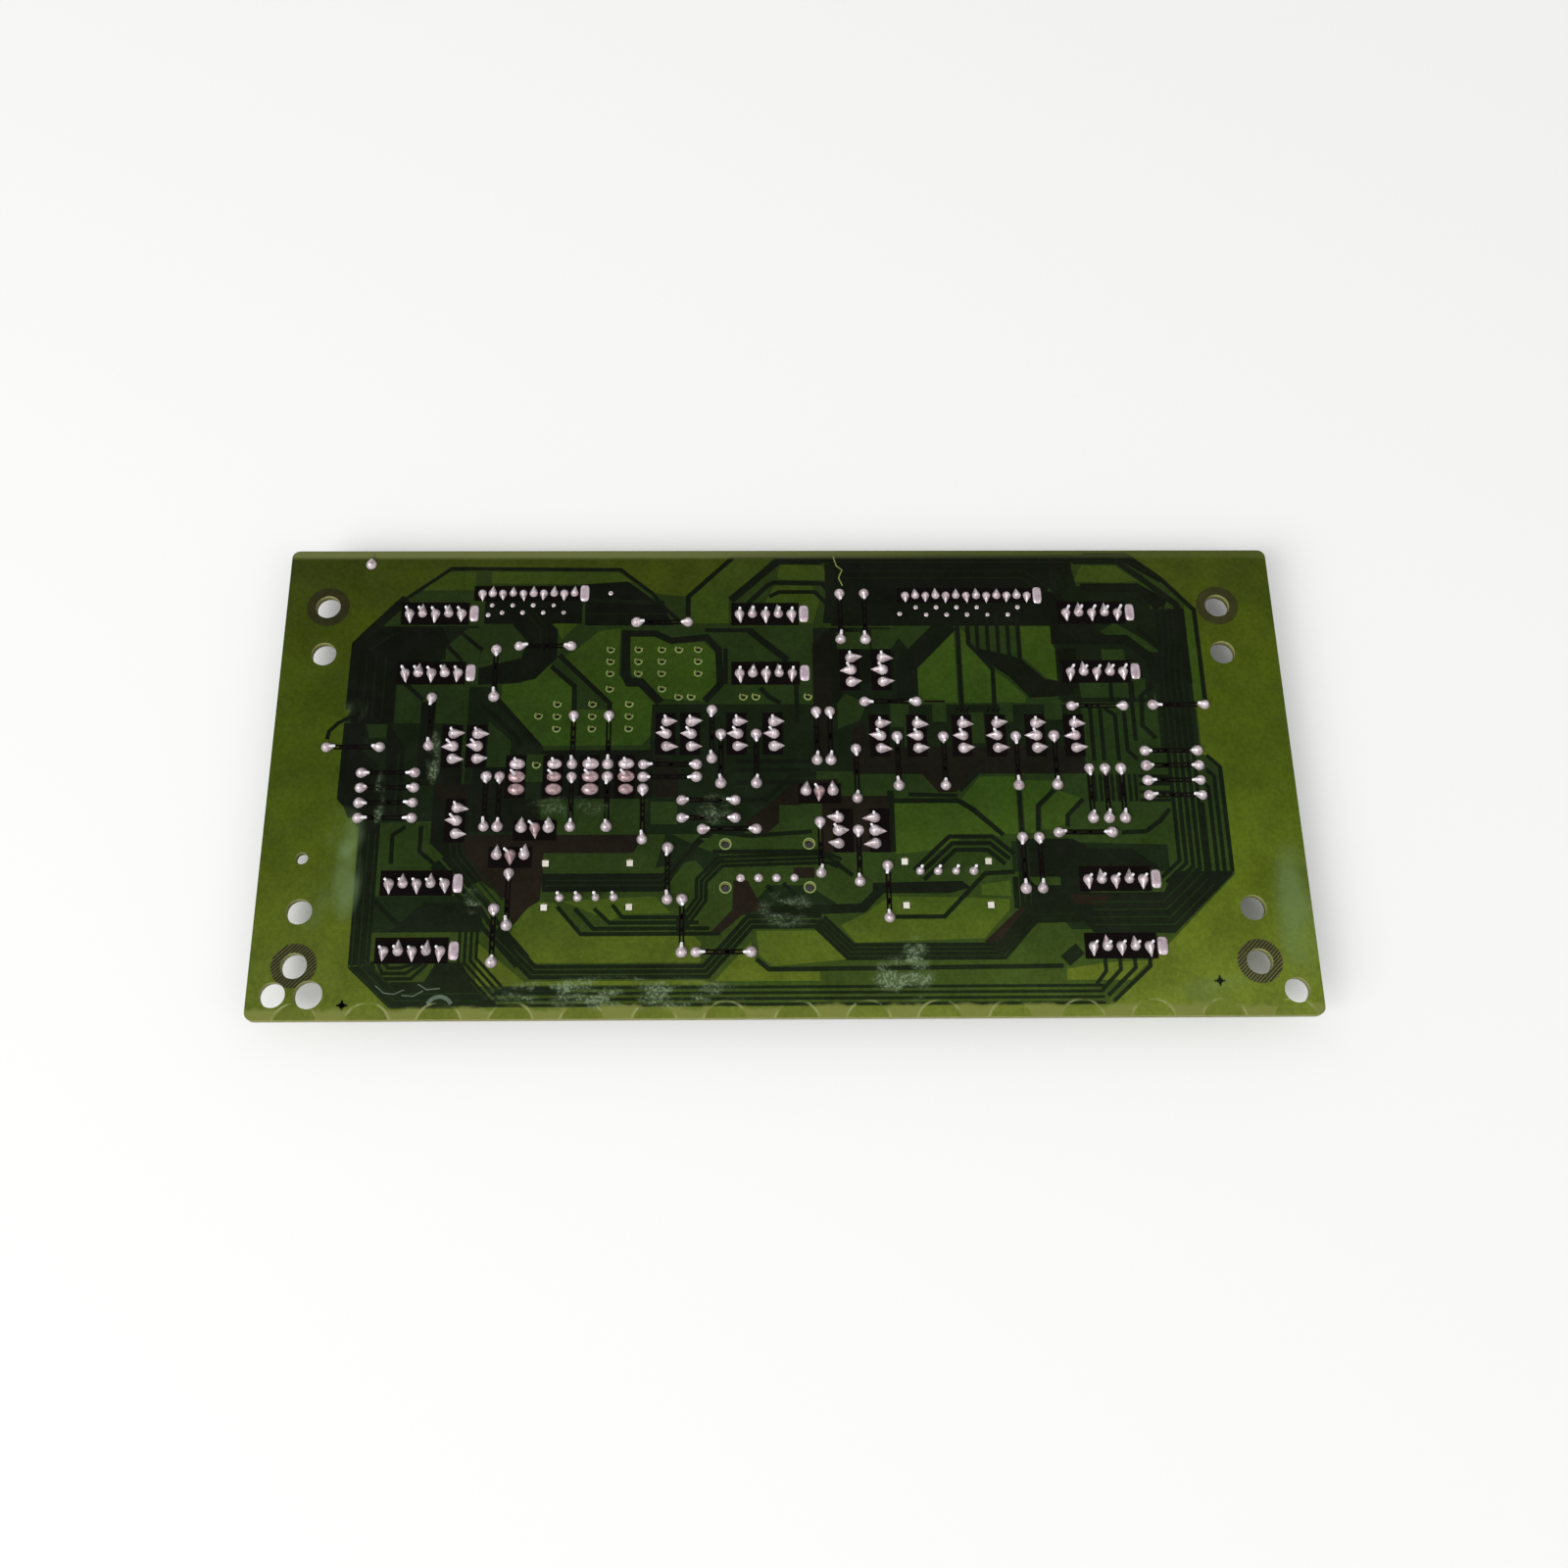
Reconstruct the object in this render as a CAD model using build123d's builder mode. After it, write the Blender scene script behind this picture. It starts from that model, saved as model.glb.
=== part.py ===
from build123d import *
import math
import os

# Oven display control board, lying solder side up on the faces of its five digits.
# Millimetres. X runs along the board, Y across it, +Z up towards the solder side.
# The origin is under the middle of the board, on the plane of the digits' faces.

# Board
board_length = 193.0
board_depth = 94.0
board_thickness = 1.6
board_corner_radius = 1.5

# Digits, which the board rests on
digit_body_width = 12.5
digit_body_depth = 15.0
digit_body_height = 8.0
digit_stand_off = 0.5
digit_height = 10.0
digit_width = 5.8
digit_stroke = 1.2
digit_lean = 10.0
segment_gap = 0.15
light_well_depth = 1.6
light_well_taper = 6.0
point_radius = 0.65
digit_pin_pitch = 2.54
digit_pin_row_spacing = 12.7
digit_pin_size = 0.5
pins_per_row = 5
rows_per_digit = 2
point_sides = 8

# Mounting holes: the ringed four take screws, the plain four take locating pegs
hole_group_x = -1.4
hole_group_y = -1.2
hole_column_spacing = 174.2
mounting_row_spacing = 71.8
locating_row_spacing = 51.6
mounting_hole_diameter = 4.8
corner_hole_diameter = 4.7
corner_hole_inset = 4.6
second_corner_hole_diameter = 5.2
second_corner_hole_offset = 6.4
small_hole_diameter = 2.3
small_hole_x = -88.9
small_hole_y = -16.8
lead_hole_diameter = 1.0
lead_hole_sides = 6

# Connectors
connector_pitch = 2.0
connector_end_margin = 2.0
connector_depth = 4.6
connector_height = 6.0
connector_wall = 0.6
connector_floor = 1.2
connector_slot_width = 1.2
connector_slot_depth = 3.2
connector_slot_cut = 3 * connector_wall
connector_pin_size = 0.5
connector_pin_reach = 3.8

# Transistors
transistor_lead_pitch = 2.54
leads_per_transistor = 3
transistor_body_lead_pitch = 1.27
transistor_body_radius = 2.35
transistor_body_sides = 12
transistor_flat_offset = 1.25
transistor_body_height = 4.6
transistor_stand_off = 3.2
lead_size = 0.45

# Two-lead parts
two_lead_spacing = 10.0
two_leads = 2
resistor_length = 6.2
resistor_diameter = 2.2
diode_length = 4.2
diode_diameter = 1.9
axial_body_sides = 6
axial_clearance = 0.3

# Lamp blocks
lamp_width = 18.0
lamp_depth = 11.0
lamp_height = 6.0
lamp_stand_off = 0.5
lamp_corner = 0.8
lamp_peg_spacing_x = 15.5
lamp_peg_spacing_y = 8.4
lamp_peg_size = 1.15
lamp_peg_hole_diameter = 1.7
lamp_peg_hole_sides = 8
lamp_lead_pitch = 3.3
leads_per_lamp = 4
lamp_lead_offset = 2.35
lamp_lens_width = 7.2
lamp_lens_depth = 7.6
lamp_lens_thickness = 1.0
lamp_lens_gap = 1.4

# Solder
joint_radius = 1.0
joint_tail = 1.75
joint_height = 1.5
transistor_joint_height = 2.4
pin_joint_height = 3.0
bare_joint_height = 1.0
pin_joint_radius = 0.88
pin_joint_tail = 1.45
lamp_joint_radius = 0.85
thief_width = 1.9
thief_length = 3.6
thief_corner = 0.5
thief_height = 0.5
thief_gap = 2.4
via_radius = 0.45
via_sides = 6
via_height = 0.25

# Copper ribbons under the lacquer
copper_thickness = 0.06

# Heights that follow from the sizes above
board_bottom = digit_body_height + digit_stand_off
board_top = board_bottom + board_thickness

# Places of the parts, as (x, y) of their middles
digit_places = {
    "top_left": (-67.5, 26.9),
    "top_middle": (-3.2, 26.7),
    "top_right": (60.8, 26.9),
    "bottom_left": (-67.5, -28.1),
    "bottom_right": (60.8, -27.8),
}
connectors = {
    "left": {"pins": 10, "place": (-49.6, 37.6), "vias": [2, 3, 4, 5, 6, 7, 8, 9]},
    "right": {"pins": 13, "place": (36.3, 37.0), "vias": [2, 3, 4, 5, 6, 7, 8, 9, 11, 12]},
}
near_via_offset = 2.6
far_via_offset = 4.2
upper_transistor_row = 7.2
middle_transistor_row = 7.7
left_transistor_row = -0.9
upright_transistors = [
    (-62.5, 5.3),
    (-57.9, 5.3),
    (-50.2, left_transistor_row),
    (-43.2, left_transistor_row),
    (-36.4, left_transistor_row),
    (-29.7, left_transistor_row),
    (-61.0, -9.6),
    (-22.2, middle_transistor_row),
    (-17.5, middle_transistor_row),
    (-8.7, middle_transistor_row),
    (-1.8, middle_transistor_row),
    (13.2, 21.0),
    (19.3, 21.0),
    (18.5, upper_transistor_row),
    (25.6, upper_transistor_row),
    (34.2, upper_transistor_row),
    (40.7, upper_transistor_row),
    (48.2, upper_transistor_row),
    (55.6, upper_transistor_row),
]
turned_transistors = [(10.0, -11.8), (16.8, -11.8)]
level_transistors = [(-46.4, -11.0), (-50.7, -16.3), (6.6, -3.9)]
empty_transistors = [
    (-33.2, 22.9),
    (-27.8, 22.9),
    (-23.3, 22.9),
    (-16.3, 22.9),
    (-43.1, 11.4),
    (-36.4, 11.4),
    (-29.4, 11.4),
]
bank_pitch = 3.0
bank_rows = 4
left_bank = [(-74.3, -row * bank_pitch) for row in range(bank_rows)]
right_bank = [(73.6, 4.0 - row * bank_pitch) for row in range(bank_rows)]
level_resistors = left_bank + right_bank + [
    (-23.3, 31.3),
    (-81.3, 5.2),
    (-21.5, 1.5),
    (-21.5, -1.0),
    (20.6, 14.3),
    (60.3, 13.3),
    (76.0, 13.5),
    (56.0, -12.3),
    (-10.3, -11.4),
    (-14.2, -5.7),
    (-14.2, -9.2),
    (-11.4, -34.9),
]
upright_resistors = [
    (-55.3, 20.5),
    (-67.1, 10.4),
    (-55.9, -5.8),
    (-53.4, -5.8),
    (-39.9, 6.6),
    (-33.2, 6.6),
    (-39.9, -5.9),
    (-33.2, -5.9),
    (-26.5, -8.4),
    (-5.2, 2.7),
    (6.3, 7.3),
    (8.9, 7.3),
    (13.7, -0.4),
    (21.6, 2.1),
    (30.4, 2.1),
    (44.2, 2.1),
    (51.5, 2.2),
    (57.7, -4.5),
    (60.7, -4.5),
    (63.7, -4.5),
    (6.6, -15.0),
    (13.7, -16.7),
]
level_diodes = [(-45.9, 26.2)]
upright_diodes = [
    (-13.6, 7.7),
    (-11.9, 2.7),
    (-50.8, -24.8),
    (-53.2, -31.6),
    (11.4, 32.5),
    (16.2, 32.5),
    (44.2, -18.2),
    (47.3, -18.2),
    (18.9, -23.6),
    (-21.7, -20.0),
    (-19.0, -29.9),
]
empty_level_pairs = [(-28.2, 17.1), (-12.6, 15.4), (-0.2, 15.4)]
empty_upright_pairs = [(-20.0, 20.4), (-46.6, 6.5)]
lamp_places = {"left": (-36.4, -22.2, 0), "right": (29.8, -22.1, 180)}
empty_lamp_place = (-3.3, -18.6, 0)
lone_joint_place = (-80.8, 44.0)
lone_vias = [(-57.3, 32.9), (-33.5, 37.6), (23.1, 33.0)]


# Turns an (x, y) about the origin by whole degrees and moves it to a place
def placed(x, y, place):
    turn = math.radians(place[2])
    turned_x = x * math.cos(turn) - y * math.sin(turn)
    turned_y = x * math.sin(turn) + y * math.cos(turn)
    return (place[0] + turned_x, place[1] + turned_y)


# Offsets of a row of equally spaced pins from its middle
def pin_offsets(count, pitch):
    return [(number - (count - 1) / 2) * pitch for number in range(count)]


# Names a finished piece and writes its file
def write(builder, name):
    builder.part.label = name
    export_step(builder.part, f"parts/{name}.step")


os.makedirs("parts", exist_ok=True)


# Circuit board: a rounded plate, drilled for its screws, pegs and empty places
def lamp_peg_places(place):
    half_x = lamp_peg_spacing_x / 2
    half_y = lamp_peg_spacing_y / 2
    return [placed(x, y, place) for x in (-half_x, half_x) for y in (-half_y, half_y)]


def empty_lead_holes():
    holes = []
    for x, y in empty_transistors:
        holes += [(x, y + offset) for offset in pin_offsets(leads_per_transistor, transistor_lead_pitch)]
    for x, y in empty_level_pairs:
        holes += [(x + offset, y) for offset in pin_offsets(two_leads, two_lead_spacing)]
    for x, y in empty_upright_pairs:
        holes += [(x, y + offset) for offset in pin_offsets(two_leads, two_lead_spacing)]
    return holes


corner_hole_x = board_length / 2 - corner_hole_inset
corner_hole_y = -board_depth / 2 + corner_hole_inset
peg_holes = lamp_peg_places(empty_lamp_place)
for lamp_place in lamp_places.values():
    peg_holes += lamp_peg_places(lamp_place)

with BuildPart() as circuit_board:
    with BuildSketch(Plane.XY.offset(board_bottom)):
        RectangleRounded(board_length, board_depth, board_corner_radius)
        with Locations((hole_group_x, hole_group_y)):
            with GridLocations(hole_column_spacing, mounting_row_spacing, 2, 2):
                Circle(mounting_hole_diameter / 2, mode=Mode.SUBTRACT)
            with GridLocations(hole_column_spacing, locating_row_spacing, 2, 2):
                Circle(mounting_hole_diameter / 2, mode=Mode.SUBTRACT)
        with Locations((-corner_hole_x, corner_hole_y), (corner_hole_x, corner_hole_y)):
            Circle(corner_hole_diameter / 2, mode=Mode.SUBTRACT)
        with Locations((-corner_hole_x + second_corner_hole_offset, corner_hole_y)):
            Circle(second_corner_hole_diameter / 2, mode=Mode.SUBTRACT)
        with Locations((small_hole_x, small_hole_y)):
            Circle(small_hole_diameter / 2, mode=Mode.SUBTRACT)
        with Locations(*peg_holes):
            RegularPolygon(lamp_peg_hole_diameter / 2, lamp_peg_hole_sides, mode=Mode.SUBTRACT)
        with Locations(*empty_lead_holes()):
            RegularPolygon(lead_hole_diameter / 2, lead_hole_sides, mode=Mode.SUBTRACT)
    extrude(amount=board_thickness)
write(circuit_board, "circuit_board")


# Copper ribbons that run round the board, clear of every joint
ribbons = [
    {"width": 2.0, "route": [(-77, 33), (-81.6, 28), (-81.6, -10), (-78, -13.6), (-78, -37), (-72, -43)]},
    {"width": 3.4, "route": [(-72, -43), (60, -43), (64, -40)]},
    {"width": 3.2, "route": [(74.8, 31), (74.8, -19), (71, -22.8)]},
    {"width": 3.6, "route": [(3, 43), (68, 43), (73.5, 38)]},
    {
        "width": 2.6,
        "route": [(-42, -38.4), (-14, -38.4), (-6, -30.5), (7, -30.5), (12, -34.5), (38, -34.5), (45, -28)],
    },
]


# One edge of a ribbon: its route moved sideways, with mitred corners
def ribbon_edge(route, reach):
    points = [Vector(x, y) for x, y in route]
    runs = [(end - start).normalized() for start, end in zip(points, points[1:])]
    normals = [Vector(-run.Y, run.X) for run in runs]
    edge = [points[0] + normals[0] * reach]
    for point, before, after in zip(points[1:-1], normals, normals[1:]):
        middle = (before + after).normalized()
        edge.append(point + middle * (reach / middle.dot(before)))
    edge.append(points[-1] + normals[-1] * reach)
    return edge


with BuildPart() as solder_side_tracks:
    for ribbon in ribbons:
        left_edge = ribbon_edge(ribbon["route"], ribbon["width"] / 2)
        right_edge = ribbon_edge(ribbon["route"], -ribbon["width"] / 2)
        with BuildSketch(Plane.XY.offset(board_top)):
            with BuildLine():
                Polyline(*right_edge, *reversed(left_edge), close=True)
            make_face()
        extrude(amount=copper_thickness)
write(solder_side_tracks, "solder_side_tracks")


# A solder joint: a five-sided fillet, drawn out to a tail along +X and up to a point
def solder_joint(radius, tail, height):
    back_angles = (72, 144, 216, 288)
    rim = [(radius * math.cos(math.radians(a)), radius * math.sin(math.radians(a))) for a in back_angles]
    with BuildSketch() as foot:
        with BuildLine():
            Polyline(*rim, (tail, 0), close=True)
        make_face()
    with BuildPart() as joint:
        loft(sections=(foot.sketch.face(), Vertex(0, 0, height)), ruled=True)
    return joint.part


# Writes a node of joints. Each group is a joint and its places, as (x, y, direction of the tail)
def solder_joints(groups, name):
    with BuildPart() as joints:
        for joint, places in groups:
            with Locations(*[Location((x, y, board_top), (0, 0, tail)) for x, y, tail in places]):
                add(joint)
    write(joints, name)


tail_right = 0
tail_up = 90
tail_left = 180
tail_down = 270

# Digit joints: the tails point down and up by turns, and each peak climbs the end of its pin
digit_joint_places = []
for x, y in digit_places.values():
    for row in pin_offsets(rows_per_digit, digit_pin_row_spacing):
        for number, offset_x in enumerate(pin_offsets(pins_per_row, digit_pin_pitch)):
            tail = tail_up if number % 2 else tail_down
            digit_joint_places.append((x + offset_x, y + row, tail))
digit_joint = solder_joint(pin_joint_radius, pin_joint_tail, pin_joint_height)
solder_joints([(digit_joint, digit_joint_places)], "digit_joints")

# Connector joints, also by turns, over pins that end in the solder
connector_joint_places = []
for connector in connectors.values():
    x, y = connector["place"]
    for number, offset_x in enumerate(pin_offsets(connector["pins"], connector_pitch)):
        tail = tail_up if number % 2 else tail_down
        connector_joint_places.append((x + offset_x, y, tail))
connector_joint = solder_joint(pin_joint_radius, pin_joint_tail, joint_height)
solder_joints([(connector_joint, connector_joint_places)], "connector_joints")

# Transistor joints: the outer two tails point one way and the middle one the other
quarter_turn = 90
half_turn = 180
transistor_places = [(x, y, quarter_turn) for x, y in upright_transistors]
transistor_places += [(x, y, half_turn + quarter_turn) for x, y in turned_transistors]
transistor_places += [(x, y, half_turn) for x, y in level_transistors]
transistor_joint_places = []
for place in transistor_places:
    for number, along in enumerate(pin_offsets(leads_per_transistor, transistor_lead_pitch)):
        tail = place[2] + (tail_up if number % 2 else tail_down)
        transistor_joint_places.append((*placed(along, 0, place), tail))
transistor_joint = solder_joint(joint_radius, joint_tail, transistor_joint_height)
solder_joints([(transistor_joint, transistor_joint_places)], "transistor_joints")

# Two-lead joints: the two tails point at each other; one joint stands alone
level_pairs = level_resistors + level_diodes
upright_pairs = upright_resistors + upright_diodes
half_spacing = two_lead_spacing / 2
two_lead_joint_places = [(*lone_joint_place, tail_up)]
for x, y in level_pairs:
    two_lead_joint_places += [(x - half_spacing, y, tail_right), (x + half_spacing, y, tail_left)]
for x, y in upright_pairs:
    two_lead_joint_places += [(x, y - half_spacing, tail_up), (x, y + half_spacing, tail_down)]
two_lead_joint = solder_joint(joint_radius, joint_tail, joint_height)
solder_joints([(two_lead_joint, two_lead_joint_places)], "two_lead_joints")

# Lamp joints: round, tall where they climb a lead, and low on the bare pads of the empty place
def lamp_joint_places(place):
    offsets = pin_offsets(leads_per_lamp, lamp_lead_pitch)
    return [(*placed(along, -lamp_lead_offset, place), tail_up) for along in offsets]


lamp_joint = solder_joint(lamp_joint_radius, lamp_joint_radius, pin_joint_height)
bare_joint = solder_joint(lamp_joint_radius, lamp_joint_radius, bare_joint_height)
lamp_joint_groups = [(lamp_joint, lamp_joint_places(place)) for place in lamp_places.values()]
lamp_joint_groups.append((bare_joint, lamp_joint_places(empty_lamp_place)))
solder_joints(lamp_joint_groups, "lamp_joints")

# Solder pads: the oblong thieves at the end of each pin row, and the filled vias
thief_places = []
for x, y in digit_places.values():
    thief_x = x + (pins_per_row - 1) / 2 * digit_pin_pitch + thief_gap
    thief_places += [(thief_x, y + row) for row in pin_offsets(rows_per_digit, digit_pin_row_spacing)]
via_places = list(lone_vias)
for connector in connectors.values():
    x, y = connector["place"]
    half_row = (connector["pins"] - 1) / 2 * connector_pitch
    thief_places.append((x + half_row + connector_pitch, y))
    offsets = pin_offsets(connector["pins"], connector_pitch)
    for pin in connector["vias"]:
        via_places.append((x + offsets[pin - 1], y - (far_via_offset if pin % 2 else near_via_offset)))

with BuildPart() as solder_pads:
    with BuildSketch(Plane.XY.offset(board_top)):
        with Locations(*thief_places):
            thief = Rectangle(thief_width, thief_length)
        chamfer(thief.vertices(), thief_corner)
    extrude(amount=thief_height)
    with BuildSketch(Plane.XY.offset(board_top)):
        with Locations(*via_places):
            RegularPolygon(via_radius, via_sides)
    extrude(amount=via_height)
write(solder_pads, "solder_pads")


# Digits: a housing with seven leaning light wells and a point, resin that fills them, and pins.
# They face down, so the lean and the point are drawn as seen through the board.
def leaning(points):
    slope = math.tan(math.radians(digit_lean))
    return [(x - y * slope, y) for x, y in points]


def level_segment(y):
    reach = digit_width / 2 - digit_stroke / 2 - segment_gap
    shoulder = reach - digit_stroke / 2
    half = digit_stroke / 2
    lower = [(-reach, y), (-shoulder, y - half), (shoulder, y - half)]
    upper = [(reach, y), (shoulder, y + half), (-shoulder, y + half)]
    return leaning(lower + upper)


def upright_segment(x, low, high):
    half = digit_stroke / 2
    foot = low + segment_gap
    head = high - segment_gap
    right = [(x, foot), (x + half, foot + half), (x + half, head - half)]
    left = [(x, head), (x - half, head - half), (x - half, foot + half)]
    return leaning(right + left)


def segment_outlines():
    top = digit_height / 2 - digit_stroke / 2
    side = digit_width / 2 - digit_stroke / 2
    outlines = [level_segment(y) for y in (-top, 0, top)]
    for x in (-side, side):
        outlines += [upright_segment(x, -top, 0), upright_segment(x, 0, top)]
    return outlines


def digit_windows():
    point_x = -digit_width / 2 - point_radius - segment_gap
    point_y = -digit_height / 2 + digit_stroke / 2
    with BuildSketch() as windows:
        for outline in segment_outlines():
            with BuildLine():
                Polyline(*outline, close=True)
            make_face()
        with Locations((point_x, point_y)):
            RegularPolygon(point_radius, point_sides)
    return windows.sketch


def digit_pin_locations(x, y):
    xs = pin_offsets(pins_per_row, digit_pin_pitch)
    ys = pin_offsets(rows_per_digit, digit_pin_row_spacing)
    return [(x + offset_x, y + offset_y) for offset_x in xs for offset_y in ys]


windows = digit_windows()
for name, (x, y) in digit_places.items():
    face_plane = Plane((x, y, 0))
    with BuildPart() as digit_housing:
        with BuildSketch(face_plane):
            Rectangle(digit_body_width, digit_body_depth)
        extrude(amount=digit_body_height)
        with BuildSketch(face_plane):
            add(windows)
        extrude(amount=light_well_depth, taper=light_well_taper, mode=Mode.SUBTRACT)
    write(digit_housing, f"digit_{name}_housing")

    with BuildPart() as digit_segments:
        with BuildSketch(face_plane):
            add(windows)
        extrude(amount=light_well_depth, taper=light_well_taper)
    write(digit_segments, f"digit_{name}_segments")

    with BuildPart() as digit_pins:
        with BuildSketch(Plane.XY.offset(digit_body_height)):
            with Locations(*digit_pin_locations(x, y)):
                Rectangle(digit_pin_size, digit_pin_size)
        extrude(amount=digit_stand_off)
    write(digit_pins, f"digit_{name}_pins")


# Connectors: a shrouded box open below, slotted in one long side, with square pins inside
for name, connector in connectors.items():
    x, y = connector["place"]
    offsets = pin_offsets(connector["pins"], connector_pitch)
    body_length = offsets[-1] - offsets[0] + 2 * connector_end_margin
    mouth_plane = Plane((x, y, board_bottom - connector_height))
    with BuildPart() as connector_housing:
        with BuildSketch(mouth_plane):
            Rectangle(body_length, connector_depth)
        extrude(amount=connector_height)
        with BuildSketch(mouth_plane):
            Rectangle(body_length - 2 * connector_wall, connector_depth - 2 * connector_wall)
        extrude(amount=connector_height - connector_floor, mode=Mode.SUBTRACT)
        with BuildSketch(mouth_plane):
            with Locations((offsets[1], -connector_depth / 2), (offsets[-2], -connector_depth / 2)):
                Rectangle(connector_slot_width, connector_slot_cut)
        extrude(amount=connector_slot_depth, mode=Mode.SUBTRACT)
    write(connector_housing, f"{name}_connector_housing")

    with BuildPart() as connector_pins:
        with BuildSketch(Plane((x, y, board_bottom - connector_floor))):
            with Locations(*[(offset_x, 0) for offset_x in offsets]):
                Rectangle(connector_pin_size, connector_pin_size)
        extrude(amount=-connector_pin_reach)
    write(connector_pins, f"{name}_connector_pins")


# Transistors: a half-round body hanging on three leads that spread to the board's pitch
def spread_lead(side):
    half = lead_size / 2
    inner = side * transistor_body_lead_pitch
    outer = side * transistor_lead_pitch
    rise = transistor_stand_off
    return [(inner - half, 0), (inner + half, 0), (outer + half, rise), (outer - half, rise)]


for number, (x, y, turn) in enumerate(transistor_places, start=1):
    body_top = Plane((x, y, board_bottom - transistor_stand_off)).rotated((0, 0, turn))
    lead_plane = Plane(origin=body_top.origin, x_dir=body_top.x_dir, z_dir=-body_top.y_dir)
    with BuildPart() as transistor:
        with BuildSketch(body_top):
            RegularPolygon(transistor_body_radius, transistor_body_sides)
            with Locations((0, -transistor_flat_offset - transistor_body_radius)):
                Rectangle(2 * transistor_body_radius, 2 * transistor_body_radius, mode=Mode.SUBTRACT)
        extrude(amount=-transistor_body_height)
        with BuildSketch(lead_plane):
            for side in (-1, 0, 1):
                with BuildLine():
                    Polyline(*spread_lead(side), close=True)
                make_face()
        extrude(amount=lead_size / 2, both=True)
    write(transistor, f"transistor_{number:02d}")


# Two-lead parts: a round body on an axial wire, bent down at both ends to the board
def axial_part(body_length, body_diameter):
    wire_depth = body_diameter / 2 + axial_clearance
    half = lead_size / 2
    inner = half_spacing - half
    outer = half_spacing + half
    wire = [
        (-outer, wire_depth),
        (-outer, -half),
        (outer, -half),
        (outer, wire_depth),
        (inner, wire_depth),
        (inner, half),
        (-inner, half),
        (-inner, wire_depth),
    ]
    with BuildPart() as axial:
        with BuildSketch(Plane.YZ.offset(-body_length / 2)):
            RegularPolygon(body_diameter / 2, axial_body_sides)
        extrude(amount=body_length)
        with BuildSketch(Plane.XZ):
            with BuildLine():
                Polyline(*wire, close=True)
            make_face()
        extrude(amount=half, both=True)
    return axial.part


def axial_parts(body_length, body_diameter, level_places, upright_places, name):
    height = board_bottom - body_diameter / 2 - axial_clearance
    stations = [Location((x, y, height)) for x, y in level_places]
    stations += [Location((x, y, height), (0, 0, 90)) for x, y in upright_places]
    part = axial_part(body_length, body_diameter)
    with BuildPart() as parts:
        with Locations(*stations):
            add(part)
    write(parts, name)


axial_parts(resistor_length, resistor_diameter, level_resistors, upright_resistors, "resistors")
axial_parts(diode_length, diode_diameter, level_diodes, upright_diodes, "diodes")


# Lamp blocks: a white block on four pegs that pass through the board, two lenses and four leads
lamp_lead_row = pin_offsets(leads_per_lamp, lamp_lead_pitch)
for name, place in lamp_places.items():
    x, y, turn = place
    block_top = board_bottom - lamp_stand_off
    face_plane = Plane((x, y, block_top - lamp_height)).rotated((0, 0, turn))
    peg_plane = Plane((x, y, block_top)).rotated((0, 0, turn))
    lens_spacing = lamp_lens_width + lamp_lens_gap
    with BuildPart() as lamp_housing:
        with BuildSketch(face_plane):
            block = Rectangle(lamp_width, lamp_depth)
            chamfer(block.vertices(), lamp_corner)
        extrude(amount=lamp_height)
        with BuildSketch(face_plane):
            with GridLocations(lens_spacing, lens_spacing, 2, 1):
                Rectangle(lamp_lens_width, lamp_lens_depth)
        extrude(amount=lamp_lens_thickness, mode=Mode.SUBTRACT)
        with BuildSketch(peg_plane):
            with GridLocations(lamp_peg_spacing_x, lamp_peg_spacing_y, 2, 2):
                Rectangle(lamp_peg_size, lamp_peg_size)
        extrude(amount=lamp_stand_off + board_thickness)
    write(lamp_housing, f"{name}_lamp_housing")

    with BuildPart() as lamp_lenses:
        with BuildSketch(face_plane):
            with GridLocations(lens_spacing, lens_spacing, 2, 1):
                Rectangle(lamp_lens_width, lamp_lens_depth)
        extrude(amount=lamp_lens_thickness)
    write(lamp_lenses, f"{name}_lamp_lenses")

    with BuildPart() as lamp_leads:
        with BuildSketch(peg_plane):
            with Locations(*[(offset_x, -lamp_lead_offset) for offset_x in lamp_lead_row]):
                Rectangle(lead_size, lead_size)
        extrude(amount=lamp_stand_off)
    write(lamp_leads, f"{name}_lamp_leads")
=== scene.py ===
import math
import random

import bmesh
import bpy
from mathutils import Matrix, Vector


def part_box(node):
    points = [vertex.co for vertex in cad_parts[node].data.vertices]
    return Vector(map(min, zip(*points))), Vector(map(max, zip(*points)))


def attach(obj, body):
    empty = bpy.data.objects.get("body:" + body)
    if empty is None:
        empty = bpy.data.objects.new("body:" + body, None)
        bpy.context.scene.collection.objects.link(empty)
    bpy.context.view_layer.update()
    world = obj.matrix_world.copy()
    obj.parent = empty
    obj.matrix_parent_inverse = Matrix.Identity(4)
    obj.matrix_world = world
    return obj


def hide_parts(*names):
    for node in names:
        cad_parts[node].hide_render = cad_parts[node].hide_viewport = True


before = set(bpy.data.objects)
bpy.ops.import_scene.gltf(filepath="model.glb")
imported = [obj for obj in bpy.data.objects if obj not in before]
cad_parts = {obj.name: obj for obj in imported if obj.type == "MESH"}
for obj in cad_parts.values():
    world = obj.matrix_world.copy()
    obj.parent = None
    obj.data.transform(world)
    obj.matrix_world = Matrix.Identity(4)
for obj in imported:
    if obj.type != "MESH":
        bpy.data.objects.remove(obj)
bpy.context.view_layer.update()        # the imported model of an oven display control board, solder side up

# Places and sizes below are in millimetres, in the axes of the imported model
mm = 0.001
board_low, board_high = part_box("circuit_board")
board_top = board_high.z / mm
board_bottom = board_low.z / mm
board_thickness = board_top - board_bottom
board_right = board_high.x / mm
board_back = board_high.y / mm
joint_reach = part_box("digit_joints")[1].z / mm - board_top
random.seed(7)


def vary(value, share=0.08):
    """A value that differs a little from one joint to the next."""
    return value * random.uniform(1 - share, 1 + share)


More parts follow.
